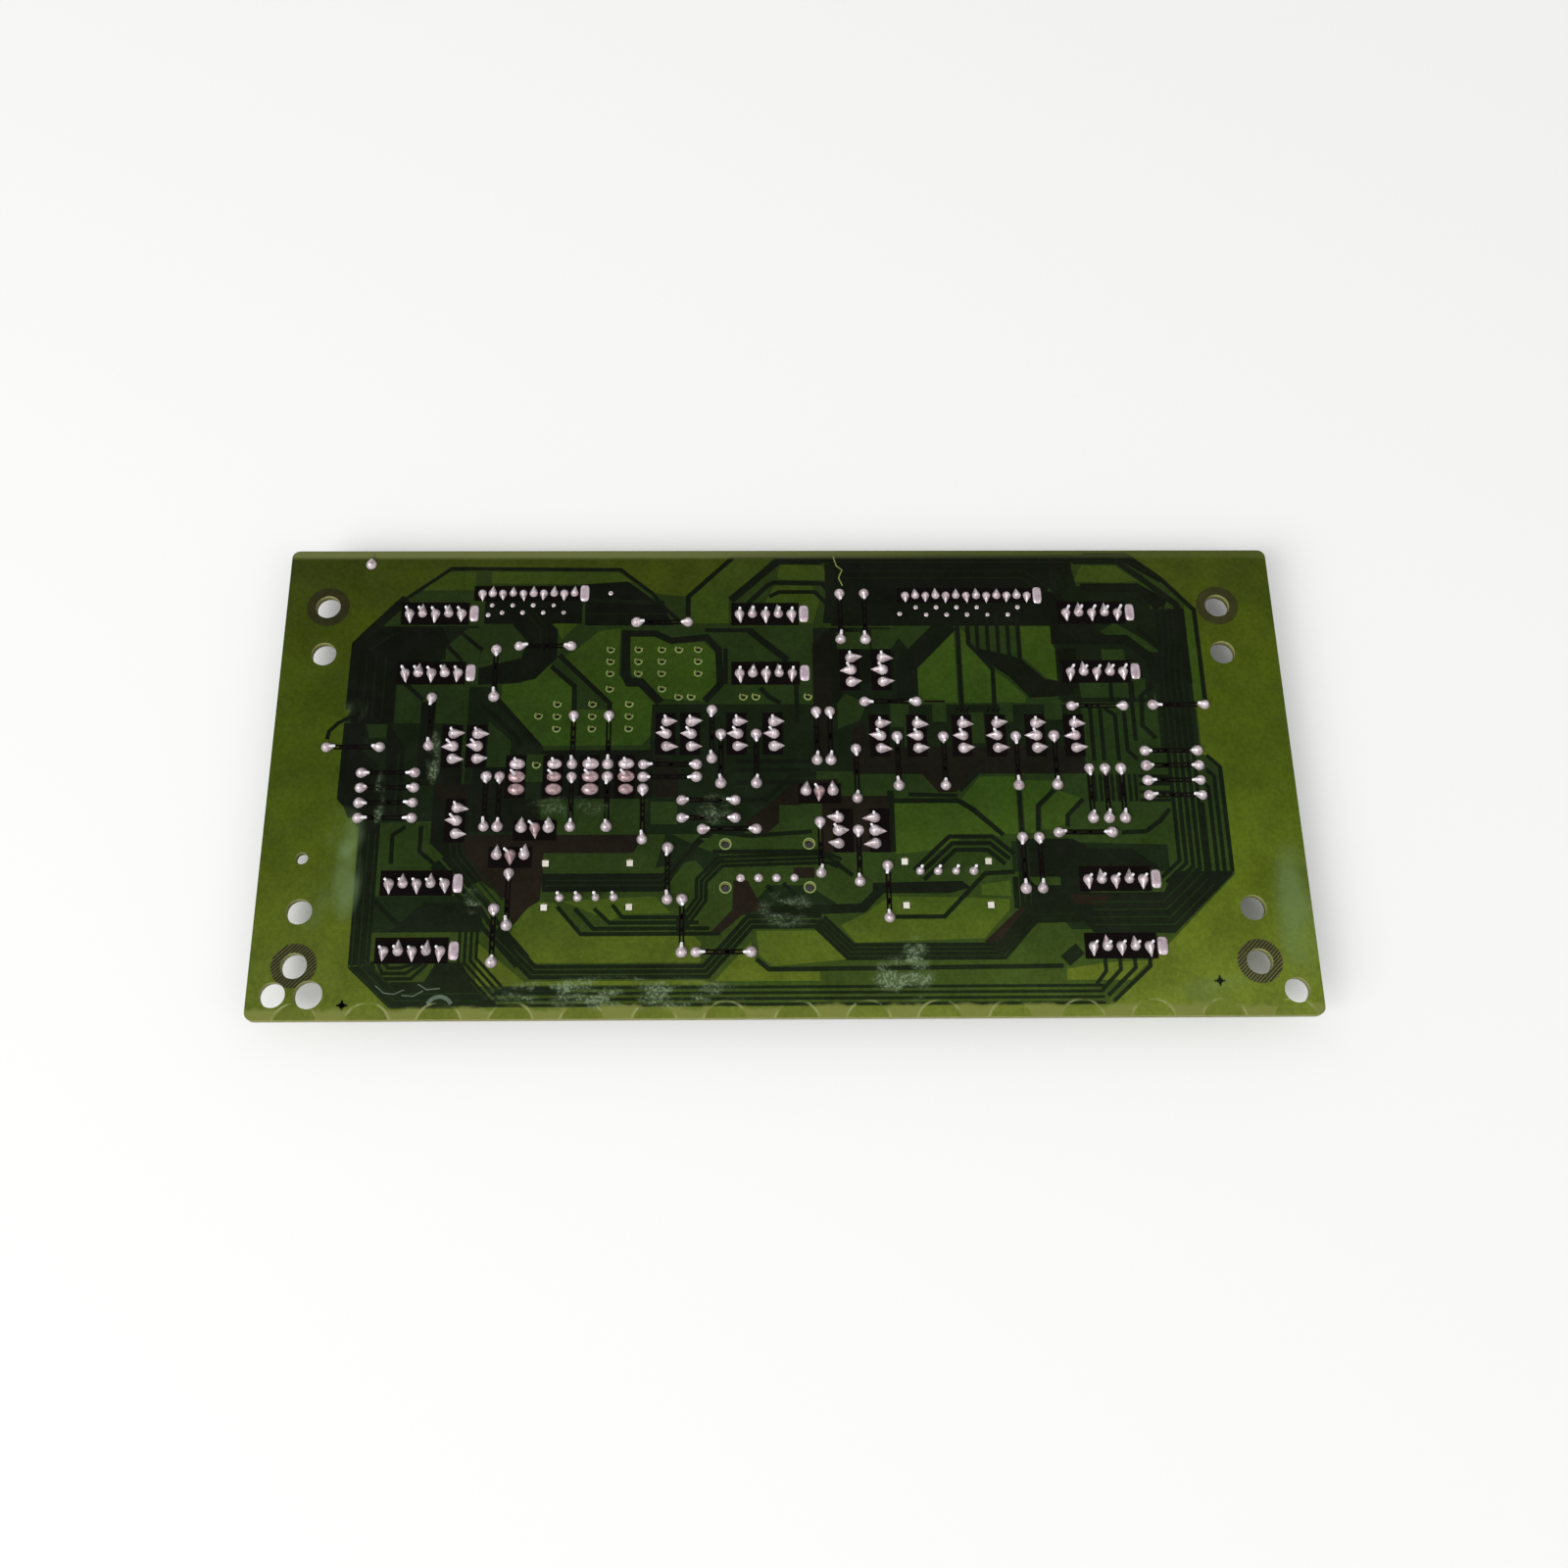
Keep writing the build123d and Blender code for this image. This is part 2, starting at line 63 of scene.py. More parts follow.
def linear(value):
    share = value / 255
    return share / 12.92 if share <= 0.04045 else ((share + 0.055) / 1.055) ** 2.4


def srgb(colour):
    return (*[linear(value) for value in colour], 1)


# Shader nodes: each helper adds what it needs and gives its result


def add_node(tree, kind, inputs=None, **settings):
    made = tree.nodes.new("ShaderNode" + kind)
    for key, value in settings.items():
        setattr(made, key, value)
    for key, value in (inputs or {}).items():
        if isinstance(value, bpy.types.NodeSocket):
            tree.links.new(value, made.inputs[key])
        else:
            made.inputs[key].default_value = value
    return made


def maths(tree, operation, first, second=0.0, clamp=False):
    made = add_node(tree, "Math", {0: first, 1: second}, operation=operation, use_clamp=clamp)
    return made.outputs[0]


def product(tree, first, *others):
    for other in others:
        first = maths(tree, "MULTIPLY", first, other)
    return first


def squared_length(tree, x, y):
    return maths(tree, "ADD", maths(tree, "POWER", x, 2), maths(tree, "POWER", y, 2))


def blend(tree, factor, first, second, mode="MIX"):
    made = add_node(tree, "Mix", {0: factor, 6: first, 7: second}, data_type="RGBA", blend_type=mode)
    return made.outputs[2]


def ramp(tree, value, low, high, to_low=0.0, to_high=1.0, curve="SMOOTHSTEP"):
    inputs = {"Value": value, "From Min": low, "From Max": high, "To Min": to_low, "To Max": to_high}
    return add_node(tree, "MapRange", inputs, interpolation_type=curve).outputs["Result"]


def place(tree, stretch=(1, 1, 1)):
    coordinates = add_node(tree, "TexCoord").outputs["Object"]
    return add_node(tree, "Mapping", {"Vector": coordinates, "Scale": stretch}).outputs["Vector"]


def axes(tree):
    return add_node(tree, "SeparateXYZ", {0: place(tree)}).outputs


def noise(tree, size, detail=3, stretch=(1, 1, 1)):
    inputs = {"Vector": place(tree, stretch), "Scale": 1 / (size * mm), "Detail": detail}
    return add_node(tree, "TexNoise", inputs).outputs["Fac"]


def bump(tree, height, strength, distance):
    inputs = {"Height": height, "Strength": strength, "Distance": distance * mm}
    return add_node(tree, "Bump", inputs).outputs["Normal"]


def new_material(name, roughness, specular, metallic=0.0):
    material = bpy.data.materials.new(name)
    material.use_nodes = True
    shader = material.node_tree.nodes["Principled BSDF"]
    shader.inputs["Roughness"].default_value = roughness
    shader.inputs["Specular IOR Level"].default_value = specular
    shader.inputs["Metallic"].default_value = metallic
    return material, material.node_tree, shader


def feed(tree, shader, inputs):
    for key, value in inputs.items():
        tree.links.new(value, shader.inputs[key])


# The lacquer. Dried flux lies on it in soft oval spots: middle, two half sizes and strength. The whitish
# haze spots are partly dried flux and partly painted sheen of light on the lacquer


flux_and_sheen_spots = [
    (-66.0, 3.0, 1.6, 6.0, 0.7),
    (-75.6, -5.0, 1.2, 6.0, 0.7),
    (21.0, -40.0, 6.5, 5.0, 1.0),
    (23.5, -36.0, 3.0, 4.5, 0.8),
    (-12.8, -7.5, 4.0, 3.5, 0.8),
    (-57.0, -25.0, 2.0, 3.0, 0.8),
    (-30.0, -42.5, 26.0, 3.6, 1.1),
    (0.0, -27.0, 6.0, 4.0, 0.5),
    (-40.0, -7.0, 9.0, 2.5, 0.4),
]
veil_spots = [
    (-81.4, 13.6, 2.6, 4.2, 0.9),
    (-82.0, -12.0, 5.0, 6.0, 0.85),
    (-80.4, -21.0, 3.4, 9.0, 0.75),
    (-86.0, -24.0, 4.0, 8.0, 0.3),
    (93.5, -28.0, 5.0, 16.0, 0.7),
    (80.0, -42.5, 12.0, 3.6, 0.35),
]
# Whitish colour of the haze spots: partly dried flux, partly painted sheen
flux_and_sheen_colour = (122, 140, 108)
flux_veil = (112, 136, 92)
weave_scale = 620
tone_reach = 96
back_band_start, back_band_end = 44.9, 45.9
back_band_colour = (104, 110, 64)
front_band_start, front_band_end = -44.5, -45.5
front_band_colour = (119, 125, 62)

# Round break-off marks along the front edge
mark_spacing = 12.75
first_mark_x = -62
mark_row_y = -48
mark_radius = 4.1
mark_rim_colour = (150, 156, 104)


def spots_in(tree, along, across, spots):
    total = 0.0
    for x, y, half_width, half_depth, strength in spots:
        offset_x = maths(tree, "DIVIDE", maths(tree, "SUBTRACT", along, x * mm), half_width * mm)
        offset_y = maths(tree, "DIVIDE", maths(tree, "SUBTRACT", across, y * mm), half_depth * mm)
        spot = ramp(tree, squared_length(tree, offset_x, offset_y), 0, 1, strength, 0)
        total = maths(tree, "ADD", total, spot)
    return total


def threads(tree, direction):
    inputs = {"Vector": place(tree), "Scale": weave_scale, "Distortion": 0.6}
    return add_node(tree, "TexWave", inputs, bands_direction=direction).outputs["Fac"]


def board_tone(tree, along):
    """Mottling, glass weave and grain on a board that is a little paler towards its right end."""
    mottle = ramp(tree, noise(tree, 9, 5), 0.3, 0.7, 0.86, 1.14)
    weave = ramp(tree, product(tree, threads(tree, "X"), threads(tree, "Y")), 0, 1, 0.97, 1.05)
    light = ramp(tree, along, -tone_reach * mm, tone_reach * mm, 0.86, 1.2)
    grain = ramp(tree, noise(tree, 0.7, 3), 0.3, 0.7, 0.88, 1.12)
    return product(tree, mottle, weave, light, grain)


def add_flux(tree, along, across, colour):
    """A thin cloudy veil in some places, and white streaks and specks in others; the white streaks and
    specks are partly dried flux and partly painted sheen.
    """
    clouds = ramp(tree, noise(tree, 7, 6, (1, 0.6, 1)), 0.32, 0.66)
    veil = maths(tree, "MULTIPLY", spots_in(tree, along, across, veil_spots), clouds, clamp=True)
    colour = blend(tree, product(tree, veil, 0.6), colour, srgb(flux_veil))
    streaks = ramp(tree, noise(tree, 2.6, 8, (0.5, 1, 1)), 0.4, 0.66)
    specks = ramp(tree, noise(tree, 0.45, 3), 0.46, 0.62, 0.35, 1.7)
    # Whitish haze: dried flux mixed with painted sheen on the lacquer
    haze = spots_in(tree, along, across, flux_and_sheen_spots)
    haze = maths(tree, "MULTIPLY", haze, product(tree, streaks, specks), clamp=True)
    return blend(tree, product(tree, haze, 0.75), colour, srgb(flux_and_sheen_colour))


def add_back_band(tree, along, across, colour):
    band = ramp(tree, across, back_band_start * mm, back_band_end * mm, 0, 0.9)
    fading = ramp(tree, along, -40 * mm, 60 * mm, 1, 0.25)
    return blend(tree, product(tree, band, fading), colour, srgb(back_band_colour))


def mark_reach(tree, along, across):
    """How far a point is from the middle of the nearest break-off mark."""
    count = maths(tree, "DIVIDE", maths(tree, "SUBTRACT", along, first_mark_x * mm), mark_spacing * mm)
    aside = maths(tree, "SUBTRACT", count, maths(tree, "ROUND", count))
    aside = maths(tree, "MULTIPLY", aside, mark_spacing * mm)
    ahead = maths(tree, "SUBTRACT", across, mark_row_y * mm)
    return maths(tree, "SQRT", squared_length(tree, aside, ahead))


def add_front_band(tree, along, across, colour):
    """A pale band with a wavering edge, and the break-off marks in it with their thin rims."""
    wavering = ramp(tree, noise(tree, 4, 5), 0.2, 0.8, -0.7 * mm, 0.7 * mm)
    wavering = maths(tree, "ADD", across, wavering)
    band = ramp(tree, wavering, front_band_start * mm, front_band_end * mm, 0, 0.85)
    reach = mark_reach(tree, along, across)
    inside = ramp(tree, reach, (mark_radius - 0.4) * mm, mark_radius * mm, 0.8, 0)
    band = product(tree, band, maths(tree, "SUBTRACT", 1.0, inside))
    colour = blend(tree, band, colour, srgb(front_band_colour))
    from_rim = maths(tree, "ABSOLUTE", maths(tree, "SUBTRACT", reach, mark_radius * mm))
    rim = ramp(tree, from_rim, 0, 0.35 * mm, 0.7, 0)
    breaks = ramp(tree, noise(tree, 3, 3), 0.42, 0.6)
    near_edge = ramp(tree, across, -43.6 * mm, -44.4 * mm)
    return blend(tree, product(tree, rim, breaks, near_edge), colour, srgb(mark_rim_colour))


def make_surface_group():
    """What lies on every lacquered surface, as a group that takes a colour and gives one."""
    tree = bpy.data.node_groups.new("lacquer_surface", "ShaderNodeTree")
    for direction in ("INPUT", "OUTPUT"):
        tree.interface.new_socket("Color", in_out=direction, socket_type="NodeSocketColor")
    source = tree.nodes.new("NodeGroupInput").outputs[0]
    along, across, _ = axes(tree)
    colour = blend(tree, 1.0, source, board_tone(tree, along), "MULTIPLY")
    colour = add_flux(tree, along, across, colour)
    colour = add_back_band(tree, along, across, colour)
    colour = add_front_band(tree, along, across, colour)
    tree.links.new(colour, tree.nodes.new("NodeGroupOutput").inputs[0])
    return tree


surface_group = make_surface_group()


def lacquer(name, *stops, roughness=0.3, specular=0.12):
    """Lacquer whose colour runs from the front edge of the board to the back one, paler at the front and
    darker at the back: partly the lacquer's own tone, partly painted light and shade.
    """
    material, tree, shader = new_material(name, roughness, specular)
    share = ramp(tree, axes(tree)[1], -board_back * mm, board_back * mm, curve="LINEAR")
    colours = add_node(tree, "ValToRGB", {"Fac": share})
    elements = colours.color_ramp.elements
    elements[0].color = srgb(stops[0])
    elements[1].color = srgb(stops[-1])
    for number, stop in enumerate(stops[1:-1], start=1):
        elements.new(number / (len(stops) - 1)).color = srgb(stop)
    group = tree.nodes.new("ShaderNodeGroup")
    group.node_tree = surface_group
    tree.links.new(colours.outputs["Color"], group.inputs[0])
    wear = ramp(tree, noise(tree, 4, 4), 0.3, 0.7, roughness - 0.06, roughness + 0.12)
    ripple = bump(tree, noise(tree, 1.2, 3), 0.15, 0.03)
    feed(tree, shader, {"Base Color": group.outputs[0], "Roughness": wear, "Normal": ripple})
    return material


# Each list of colours runs from the front edge to the back. The paling towards the front is partly painted
# light, and the darkening towards the back partly painted shade.
bare_lacquer = lacquer(
    "bare_lacquer", (94, 107, 32), (78, 92, 18), (64, 79, 9), (61, 74, 6), (53, 62, 7), specular=0.14
)
open_lacquer = lacquer(
    "open_lacquer", (92, 104, 28), (58, 77, 18), (40, 63, 13), (45, 65, 11), (50, 62, 11), specular=0.14
)
pour_lacquer = lacquer(
    "pour_lacquer", (60, 76, 24), (42, 60, 18), (29, 45, 14), (29, 45, 12), (36, 48, 11), specular=0.14
)
deep_lacquer = lacquer(
    "deep_lacquer", (36, 50, 23), (23, 36, 15), (17, 27, 10), (15, 23, 7), (14, 22, 6), specular=0.13
)
dark_lacquer = lacquer("dark_lacquer", (30, 40, 22), (18, 24, 12), (14, 19, 9), (11, 16, 5), (10, 14, 5))
brown_lacquer = lacquer("brown_lacquer", (38, 34, 24), (32, 25, 17), (20, 18, 10), (16, 16, 8), (13, 14, 6))
track_lacquer = lacquer("track_lacquer", (26, 36, 18), (17, 25, 11), (13, 20, 8), (12, 18, 7), (13, 18, 6))
legend_ink = lacquer("legend_ink", (14, 9, 8), (10, 6, 6), roughness=0.55, specular=0.04)
mark_gloss = {"roughness": 0.32, "specular": 0.18}
flux_mark = lacquer("flux_mark", (92, 106, 90), (92, 106, 90), **mark_gloss)
# Pale colour of the back scratch and the peg hole rings, also used for the painted highlights on the lead
# hole rims
pale_scratch_and_highlight = lacquer(
    "pale_scratch_and_highlight", (140, 146, 86), (124, 140, 84), (120, 142, 76), (112, 130, 66), **mark_gloss
)
worn_ring = lacquer("worn_ring", (84, 81, 46), (70, 68, 36), **mark_gloss)
solid_ring = lacquer("solid_ring", (60, 58, 28), (42, 42, 15), **mark_gloss)


def make_laminate_edge():
    material, tree, shader = new_material("laminate_edge", 0.7, 0.25)
    ply_thickness = 0.22
    plies = maths(tree, "SINE", maths(tree, "MULTIPLY", axes(tree)[2], 2 * math.pi / (ply_thickness * mm)))
    plies = ramp(tree, plies, -1, 1, 0.86, 1.08)
    base = blend(tree, noise(tree, 2.5), srgb((150, 146, 96)), srgb((108, 116, 58)))
    base = blend(tree, 1.0, base, plies, "MULTIPLY")
    feed(tree, shader, {"Base Color": base, "Normal": bump(tree, noise(tree, 0.4), 0.5, 0.08)})
    return material


laminate_edge = make_laminate_edge()


# Solder, metal and plastic


def make_solder(name, colour, dull, roughness, metallic=0.45):
    material, tree, shader = new_material(name, roughness, 0.5, metallic)
    tarnish = ramp(tree, noise(tree, 0.9, 4), 0.42, 0.72)
    base = blend(tree, tarnish, srgb(colour), srgb(dull))
    wear = ramp(tree, tarnish, 0, 1, roughness, roughness + 0.2)
    dimples = bump(tree, noise(tree, 0.5, 3), 0.3, 0.06)
    feed(tree, shader, {"Base Color": base, "Roughness": wear, "Normal": dimples})
    return material


solder = make_solder("solder", (212, 199, 203), (166, 147, 151), 0.3)
pink_solder = make_solder("pink_solder", (180, 154, 156), (124, 98, 98), 0.34)
pad_solder = make_solder("pad_solder", (206, 190, 197), (172, 150, 158), 0.36)
cut_lead = make_solder("cut_lead", (244, 240, 244), (222, 212, 218), 0.3, 0.3)
tin = make_solder("tin", (222, 220, 222), (176, 174, 178), 0.26, 1.0)


def mottled(tree, first, second):
    return blend(tree, ramp(tree, noise(tree, 6, 4), 0.35, 0.7), srgb(first), srgb(second))


def make_plastic(name, colour, second, roughness, grain=0.4, specular=0.4):
    material, tree, shader = new_material(name, roughness, specular)
    wear = ramp(tree, noise(tree, 2, 3), 0.3, 0.7, roughness - 0.08, roughness + 0.1)
    pores = bump(tree, noise(tree, grain, 4), 0.25, 0.05)
    feed(tree, shader, {"Base Color": mottled(tree, colour, second), "Roughness": wear, "Normal": pores})
    return material


def make_digit_plastic():
    """Pale sides and a dark face, which is the lowest skin of each digit."""
    material, tree, shader = new_material("digit_plastic", 0.45, 0.4)
    sides = mottled(tree, (206, 204, 196), (188, 184, 174))
    above_face = ramp(tree, axes(tree)[2], 0.05 * mm, 0.15 * mm)
    colour = blend(tree, above_face, srgb((44, 44, 46)), sides)
    feed(tree, shader, {"Base Color": colour, "Normal": bump(tree, noise(tree, 0.35, 4), 0.2, 0.05)})
    return material


digit_plastic = make_digit_plastic()
digit_resin = make_plastic("digit_resin", (226, 222, 208), (206, 200, 182), 0.35, 1.0)
connector_nylon = make_plastic("connector_nylon", (222, 214, 190), (202, 192, 164), 0.5, 0.5)
transistor_body = make_plastic("transistor_body", (30, 30, 31), (22, 22, 23), 0.42, 0.15)
resistor_lacquer = make_plastic("resistor_lacquer", (196, 164, 118), (176, 142, 98), 0.35, 0.5)
lamp_white = make_plastic("lamp_white", (228, 226, 214), (208, 204, 188), 0.42, 0.5)
lamp_milk = make_plastic("lamp_milk", (236, 234, 226), (218, 214, 202), 0.3, 1.5)
diode_glass = make_plastic("diode_glass", (176, 84, 44), (140, 58, 30), 0.12, 2.0, 0.6)
band_brown = make_plastic("band_brown", (92, 52, 30), (72, 40, 24), 0.4)
band_black = make_plastic("band_black", (26, 24, 24), (18, 18, 18), 0.4)
band_red = make_plastic("band_red", (150, 38, 30), (124, 30, 26), 0.4)
band_gold = make_plastic("band_gold", (176, 138, 62), (150, 112, 46), 0.35)


# Meshes: every shape is closed, and is built in millimetres


def new_object(name, shape, materials=()):
    bmesh.ops.recalc_face_normals(shape, faces=shape.faces)
    bmesh.ops.transform(shape, matrix=Matrix.Scale(mm, 4), verts=shape.verts)
    mesh = bpy.data.meshes.new(name)
    shape.to_mesh(mesh)
    shape.free()
    for material in materials:
        mesh.materials.append(material)
    made = bpy.data.objects.new(name, mesh)
    bpy.context.scene.collection.objects.link(made)
    return made


def finish_piece(name, shape, materials, replaces=None):
    piece = new_object(name, shape, materials)
    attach(piece, "root")
    if replaces:
        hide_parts(replaces)
    return piece


def add_bevel(piece, width):
    modifier = piece.modifiers.new("edge", "BEVEL")
    modifier.width = width * mm
    modifier.segments = 2
    modifier.limit_method = "ANGLE"


def add_face(shape, corners, material=0, smooth=False):
    face = shape.faces.new(corners)
    face.material_index = material
    face.smooth = smooth


def stitch(shape, rows, material=0, smooth=False):
    """Faces between rows of corners that each go once round."""
    for inner, outer in zip(rows, rows[1:]):
        for here in range(len(inner)):
            after = (here + 1) % len(inner)
            add_face(shape, (inner[here], inner[after], outer[after], outer[here]), material, smooth)


def plate(shape, outline, low, high, material=0):
    """A flat plate with straight walls on an outline that goes once round."""
    rows = [[shape.verts.new((x, y, z)) for x, y in outline] for z in (low, high)]
    for row in rows:
        add_face(shape, row, material)
    stitch(shape, rows, material)


def sides_of(points, closed=False):
    """The way to the left of each run of a route."""
    runs = [(after - here).normalized() for here, after in zip(points, points[1:])]
    if closed:
        runs.append((points[0] - points[-1]).normalized())
    return [Vector((-run.y, run.x)) for run in runs]


def mitre(before, after, distance):
    """The step from a corner to the corner of a line that runs at a distance beside it."""
    middle = (before + after).normalized()
    return middle * distance / max(middle.dot(before), 0.5)


def line(shape, route, width, low, high, material=0, closed=False):
    """A line of even width along a route, with mitred corners."""
    points = [Vector(point) for point in route]
    sides = sides_of(points, closed)
    rows = []
    for number, point in enumerate(points):
        before = sides[number - 1] if closed or number else sides[0]
        after = sides[number] if number < len(sides) else sides[-1]
        step = mitre(before, after, width / 2)
        left, right = point + step, point - step
        section = ((*left, low), (*left, high), (*right, high), (*right, low))
        rows.append([shape.verts.new(corner) for corner in section])
    if closed:
        stitch(shape, rows + rows[:1], material)
    else:
        stitch(shape, rows, material)
        add_face(shape, rows[0], material)
        add_face(shape, rows[-1], material)


def circle_points(x, y, radius, count, start=0.0, turn=360.0):
    steps = count if turn == 360 else count - 1
    angles = [math.radians(start + turn * number / steps) for number in range(count)]
    return [(x + radius * math.cos(angle), y + radius * math.sin(angle)) for angle in angles]


def ring(shape, x, y, radius, width, low, high, count=32):
    line(shape, circle_points(x, y, radius, count), width, low, high, closed=True)


def rectangle(x_low, x_high, y_low, y_high):
    return [(x_low, y_low), (x_high, y_low), (x_high, y_high), (x_low, y_high)]


def turned(x, y, along, across, degrees):
    """A place given along and across a direction, from a middle."""
    cosine, sine = math.cos(math.radians(degrees)), math.sin(math.radians(degrees))
    return x + along * cosine - across * sine, y + along * sine + across * cosine


def bar(shape, start, end, radius, material=0, sides=10):
    """A round bar with domed ends between two points."""
    start, end = Vector(start), Vector(end)
    axis = (end - start).normalized()
    turn = axis.to_track_quat("Z", "Y").to_matrix()
    dome, narrow = 0.5625, 0.66
    rows = []
    for centre, reach, share in ((start, -dome, narrow), (start, 0, 1), (end, 0, 1), (end, dome, narrow)):
        middle = centre + axis * radius * reach
        points = circle_points(0, 0, radius * share, sides)
        rows.append([shape.verts.new(middle + turn @ Vector((x, y, 0))) for x, y in points])
    add_face(shape, rows[0], material, True)
    add_face(shape, rows[-1], material, True)
    stitch(shape, rows, material, True)


def ball(shape, centre, radius, material=0, stretch=(1, 1, 1)):
    matrix = Matrix.Translation(centre) @ Matrix.Diagonal((*stretch, 1))
    made = bmesh.ops.create_uvsphere(shape, u_segments=12, v_segments=8, radius=radius, matrix=matrix)
    for vertex in made["verts"]:
        for face in vertex.link_faces:
            face.material_index = material
            face.smooth = True


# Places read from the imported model


def mesh_of(node):
    shape = bmesh.new()
    shape.from_mesh(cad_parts[node].data)
    bmesh.ops.remove_doubles(shape, verts=shape.verts, dist=0.001 * mm)
    return shape


def joined(items, neighbours):
    """Splits items into groups, where neighbours gives the items next to one."""
    left = set(items)
    groups = []
    while left:
        group = [left.pop()]
        for item in group:
            for other in neighbours(item):
                if other in left:
                    left.remove(other)
                    group.append(other)
        groups.append(group)
    return groups


def extent(corners):
    low = Vector([min(corner[axis] for corner in corners) for axis in range(3)])
    high = Vector([max(corner[axis] for corner in corners) for axis in range(3)])
    return low, high


def corner_middle(corners):
    low, high = extent(corners)
    return (low + high) / 2


def solids_of(node):
    """The corners of each separate solid of a node, in millimetres, from left to right."""
    shape = mesh_of(node)
    groups = joined(shape.verts, lambda vertex: [edge.other_vert(vertex) for edge in vertex.link_edges])
    solids = [[vertex.co / mm for vertex in group] for group in groups]
    shape.free()
    return sorted(solids, key=lambda corners: (round(corner_middle(corners).x, 2), corner_middle(corners).y))


def joint_places(node):
    """The peak of each joint and the way that its tail points, in degrees."""
    found = []
    for corners in solids_of(node):
        peak = max(corners, key=lambda corner: corner.z)
        tip = max(corners, key=lambda corner: (corner - peak).to_2d().length)
        away = tip - peak
        found.append((peak.x, peak.y, math.degrees(math.atan2(away.y, away.x))))
    return found


def board_holes():
    """The middle and radius of every hole, from the walls that stand inside the outline."""
    shape = mesh_of("circuit_board")
    walls = [face for face in shape.faces if abs(face.normal.z) < 0.5]
    holes = []
    for group in joined(walls, lambda face: [other for edge in face.edges for other in edge.link_faces]):
        corners = [vertex.co / mm for face in group for vertex in face.verts]
        middle = corner_middle(corners)
        radius = max((corner - middle).to_2d().length for corner in corners)
        if radius < board_back:
            holes.append((middle.x, middle.y, radius))
    shape.free()
    return sorted(holes, key=lambda hole: (round(hole[0], 1), hole[1]))


holes = board_holes()

# Radius that parts the lead holes from the peg holes, those from the rest, and the rest from the largest
lead_limit, peg_limit, large_limit = 0.7, 1, 2.3
lead_holes = [hole for hole in holes if hole[2] < lead_limit]
peg_holes = [hole for hole in holes if lead_limit < hole[2] < peg_limit]
large_holes = [hole for hole in holes if hole[2] > large_limit]


# The board itself: a flat curve with its holes, given its thickness


def make_board():
    outline = bpy.data.curves.new("board_outline", "CURVE")
    outline.dimensions = "2D"
    outline.fill_mode = "BOTH"
    outline.extrude = board_thickness / 2 * mm
    corner_radius = 1.5
    corner_steps = 6
    edge_points = []
    for number, (side_x, side_y) in enumerate(((1, 1), (-1, 1), (-1, -1), (1, -1))):
        x = side_x * (board_right - corner_radius)
        y = side_y * (board_back - corner_radius)
        edge_points += circle_points(x, y, corner_radius, corner_steps, 90 * number, 90)
    rims = [circle_points(x, y, radius, 40 if radius > peg_limit else 16) for x, y, radius in holes]
    for points in [edge_points] + rims:
        spline = outline.splines.new("POLY")
        spline.points.add(len(points) - 1)
        spline.use_cyclic_u = True
        for spline_point, (x, y) in zip(spline.points, points):
            spline_point.co = (x * mm, y * mm, 0, 1)
    source = bpy.data.objects.new("board_source", outline)
    shape = bmesh.new()
    shape.from_mesh(bpy.data.meshes.new_from_object(source))
    bpy.data.objects.remove(source)
    bmesh.ops.remove_doubles(shape, verts=shape.verts, dist=0.001 * mm)
    bmesh.ops.transform(shape, matrix=Matrix.Scale(1 / mm, 4), verts=shape.verts)
    lift = Matrix.Translation((0, 0, board_bottom + board_thickness / 2))
    bmesh.ops.transform(shape, matrix=lift, verts=shape.verts)
    for face in shape.faces:
        face.material_index = 0 if abs(face.normal.z) > 0.5 else 1
    finish_piece("board", shape, [bare_lacquer, laminate_edge], "circuit_board")


make_board()


# Copper under the lacquer, in layers. Within a layer, neighbours in the list differ by a hair in height,
# so that no two of them that overlap have faces in one plane


copper_step = 0.012
hair = 0.0012
hairs = 9


def open_holes(piece):
    """Cuts every hole of the board through a piece that lies on it."""
    shape = bmesh.new()
    for x, y, radius in holes:
        outline = circle_points(x, y, radius, 32 if radius > peg_limit else 16)
        plate(shape, outline, board_bottom - 1, board_top + 1)
    drill = new_object("drill", shape)
    cut = piece.modifiers.new("cut", "BOOLEAN")
    cut.operation = "DIFFERENCE"
    cut.solver = "EXACT"
    cut.use_self = True
    cut.object = drill
    bpy.context.view_layer.update()
    graph = bpy.context.evaluated_depsgraph_get()
    result = bpy.data.meshes.new_from_object(piece.evaluated_get(graph), depsgraph=graph)
    piece.modifiers.clear()
    piece.data = result
    bpy.data.objects.remove(drill)


def copper_layer(name, level, material, areas=(), lines=(), rings=(), replaces=None):
    """One layer on the solder side, and the same on the hidden side."""
    shape = bmesh.new()
    high = board_top + copper_step * level
    low = board_top - copper_step
    for number, outline in enumerate(areas):
        plate(shape, outline, low, high + number % hairs * hair)
    for number, (width, route) in enumerate(lines):
        line(shape, route, width, low, high + number % hairs * hair)
    for x, y, radius, width in rings:
        ring(shape, x, y, radius, width, low, high)
    made = bmesh.ops.duplicate(shape, geom=shape.faces[:] + shape.verts[:] + shape.edges[:])
    for part in made["geom"]:
        if isinstance(part, bmesh.types.BMVert):
            part.co.z = board_bottom + board_top - part.co.z
    open_holes(finish_piece(name, shape, [material], replaces))


def bundle(count, width, gap, route):
    """Several even lines side by side, centred on one route."""
    points = [Vector(point) for point in route]
    sides = sides_of(points)
    lines = []
    for number in range(count):
        offset = (number - (count - 1) / 2) * (width + gap)
        moved = []
        for corner, point in enumerate(points):
            before = sides[max(corner - 1, 0)]
            after = sides[min(corner, len(sides) - 1)]
            moved.append(tuple(point + mitre(before, after, offset)))
        lines.append((width, moved))
    return lines


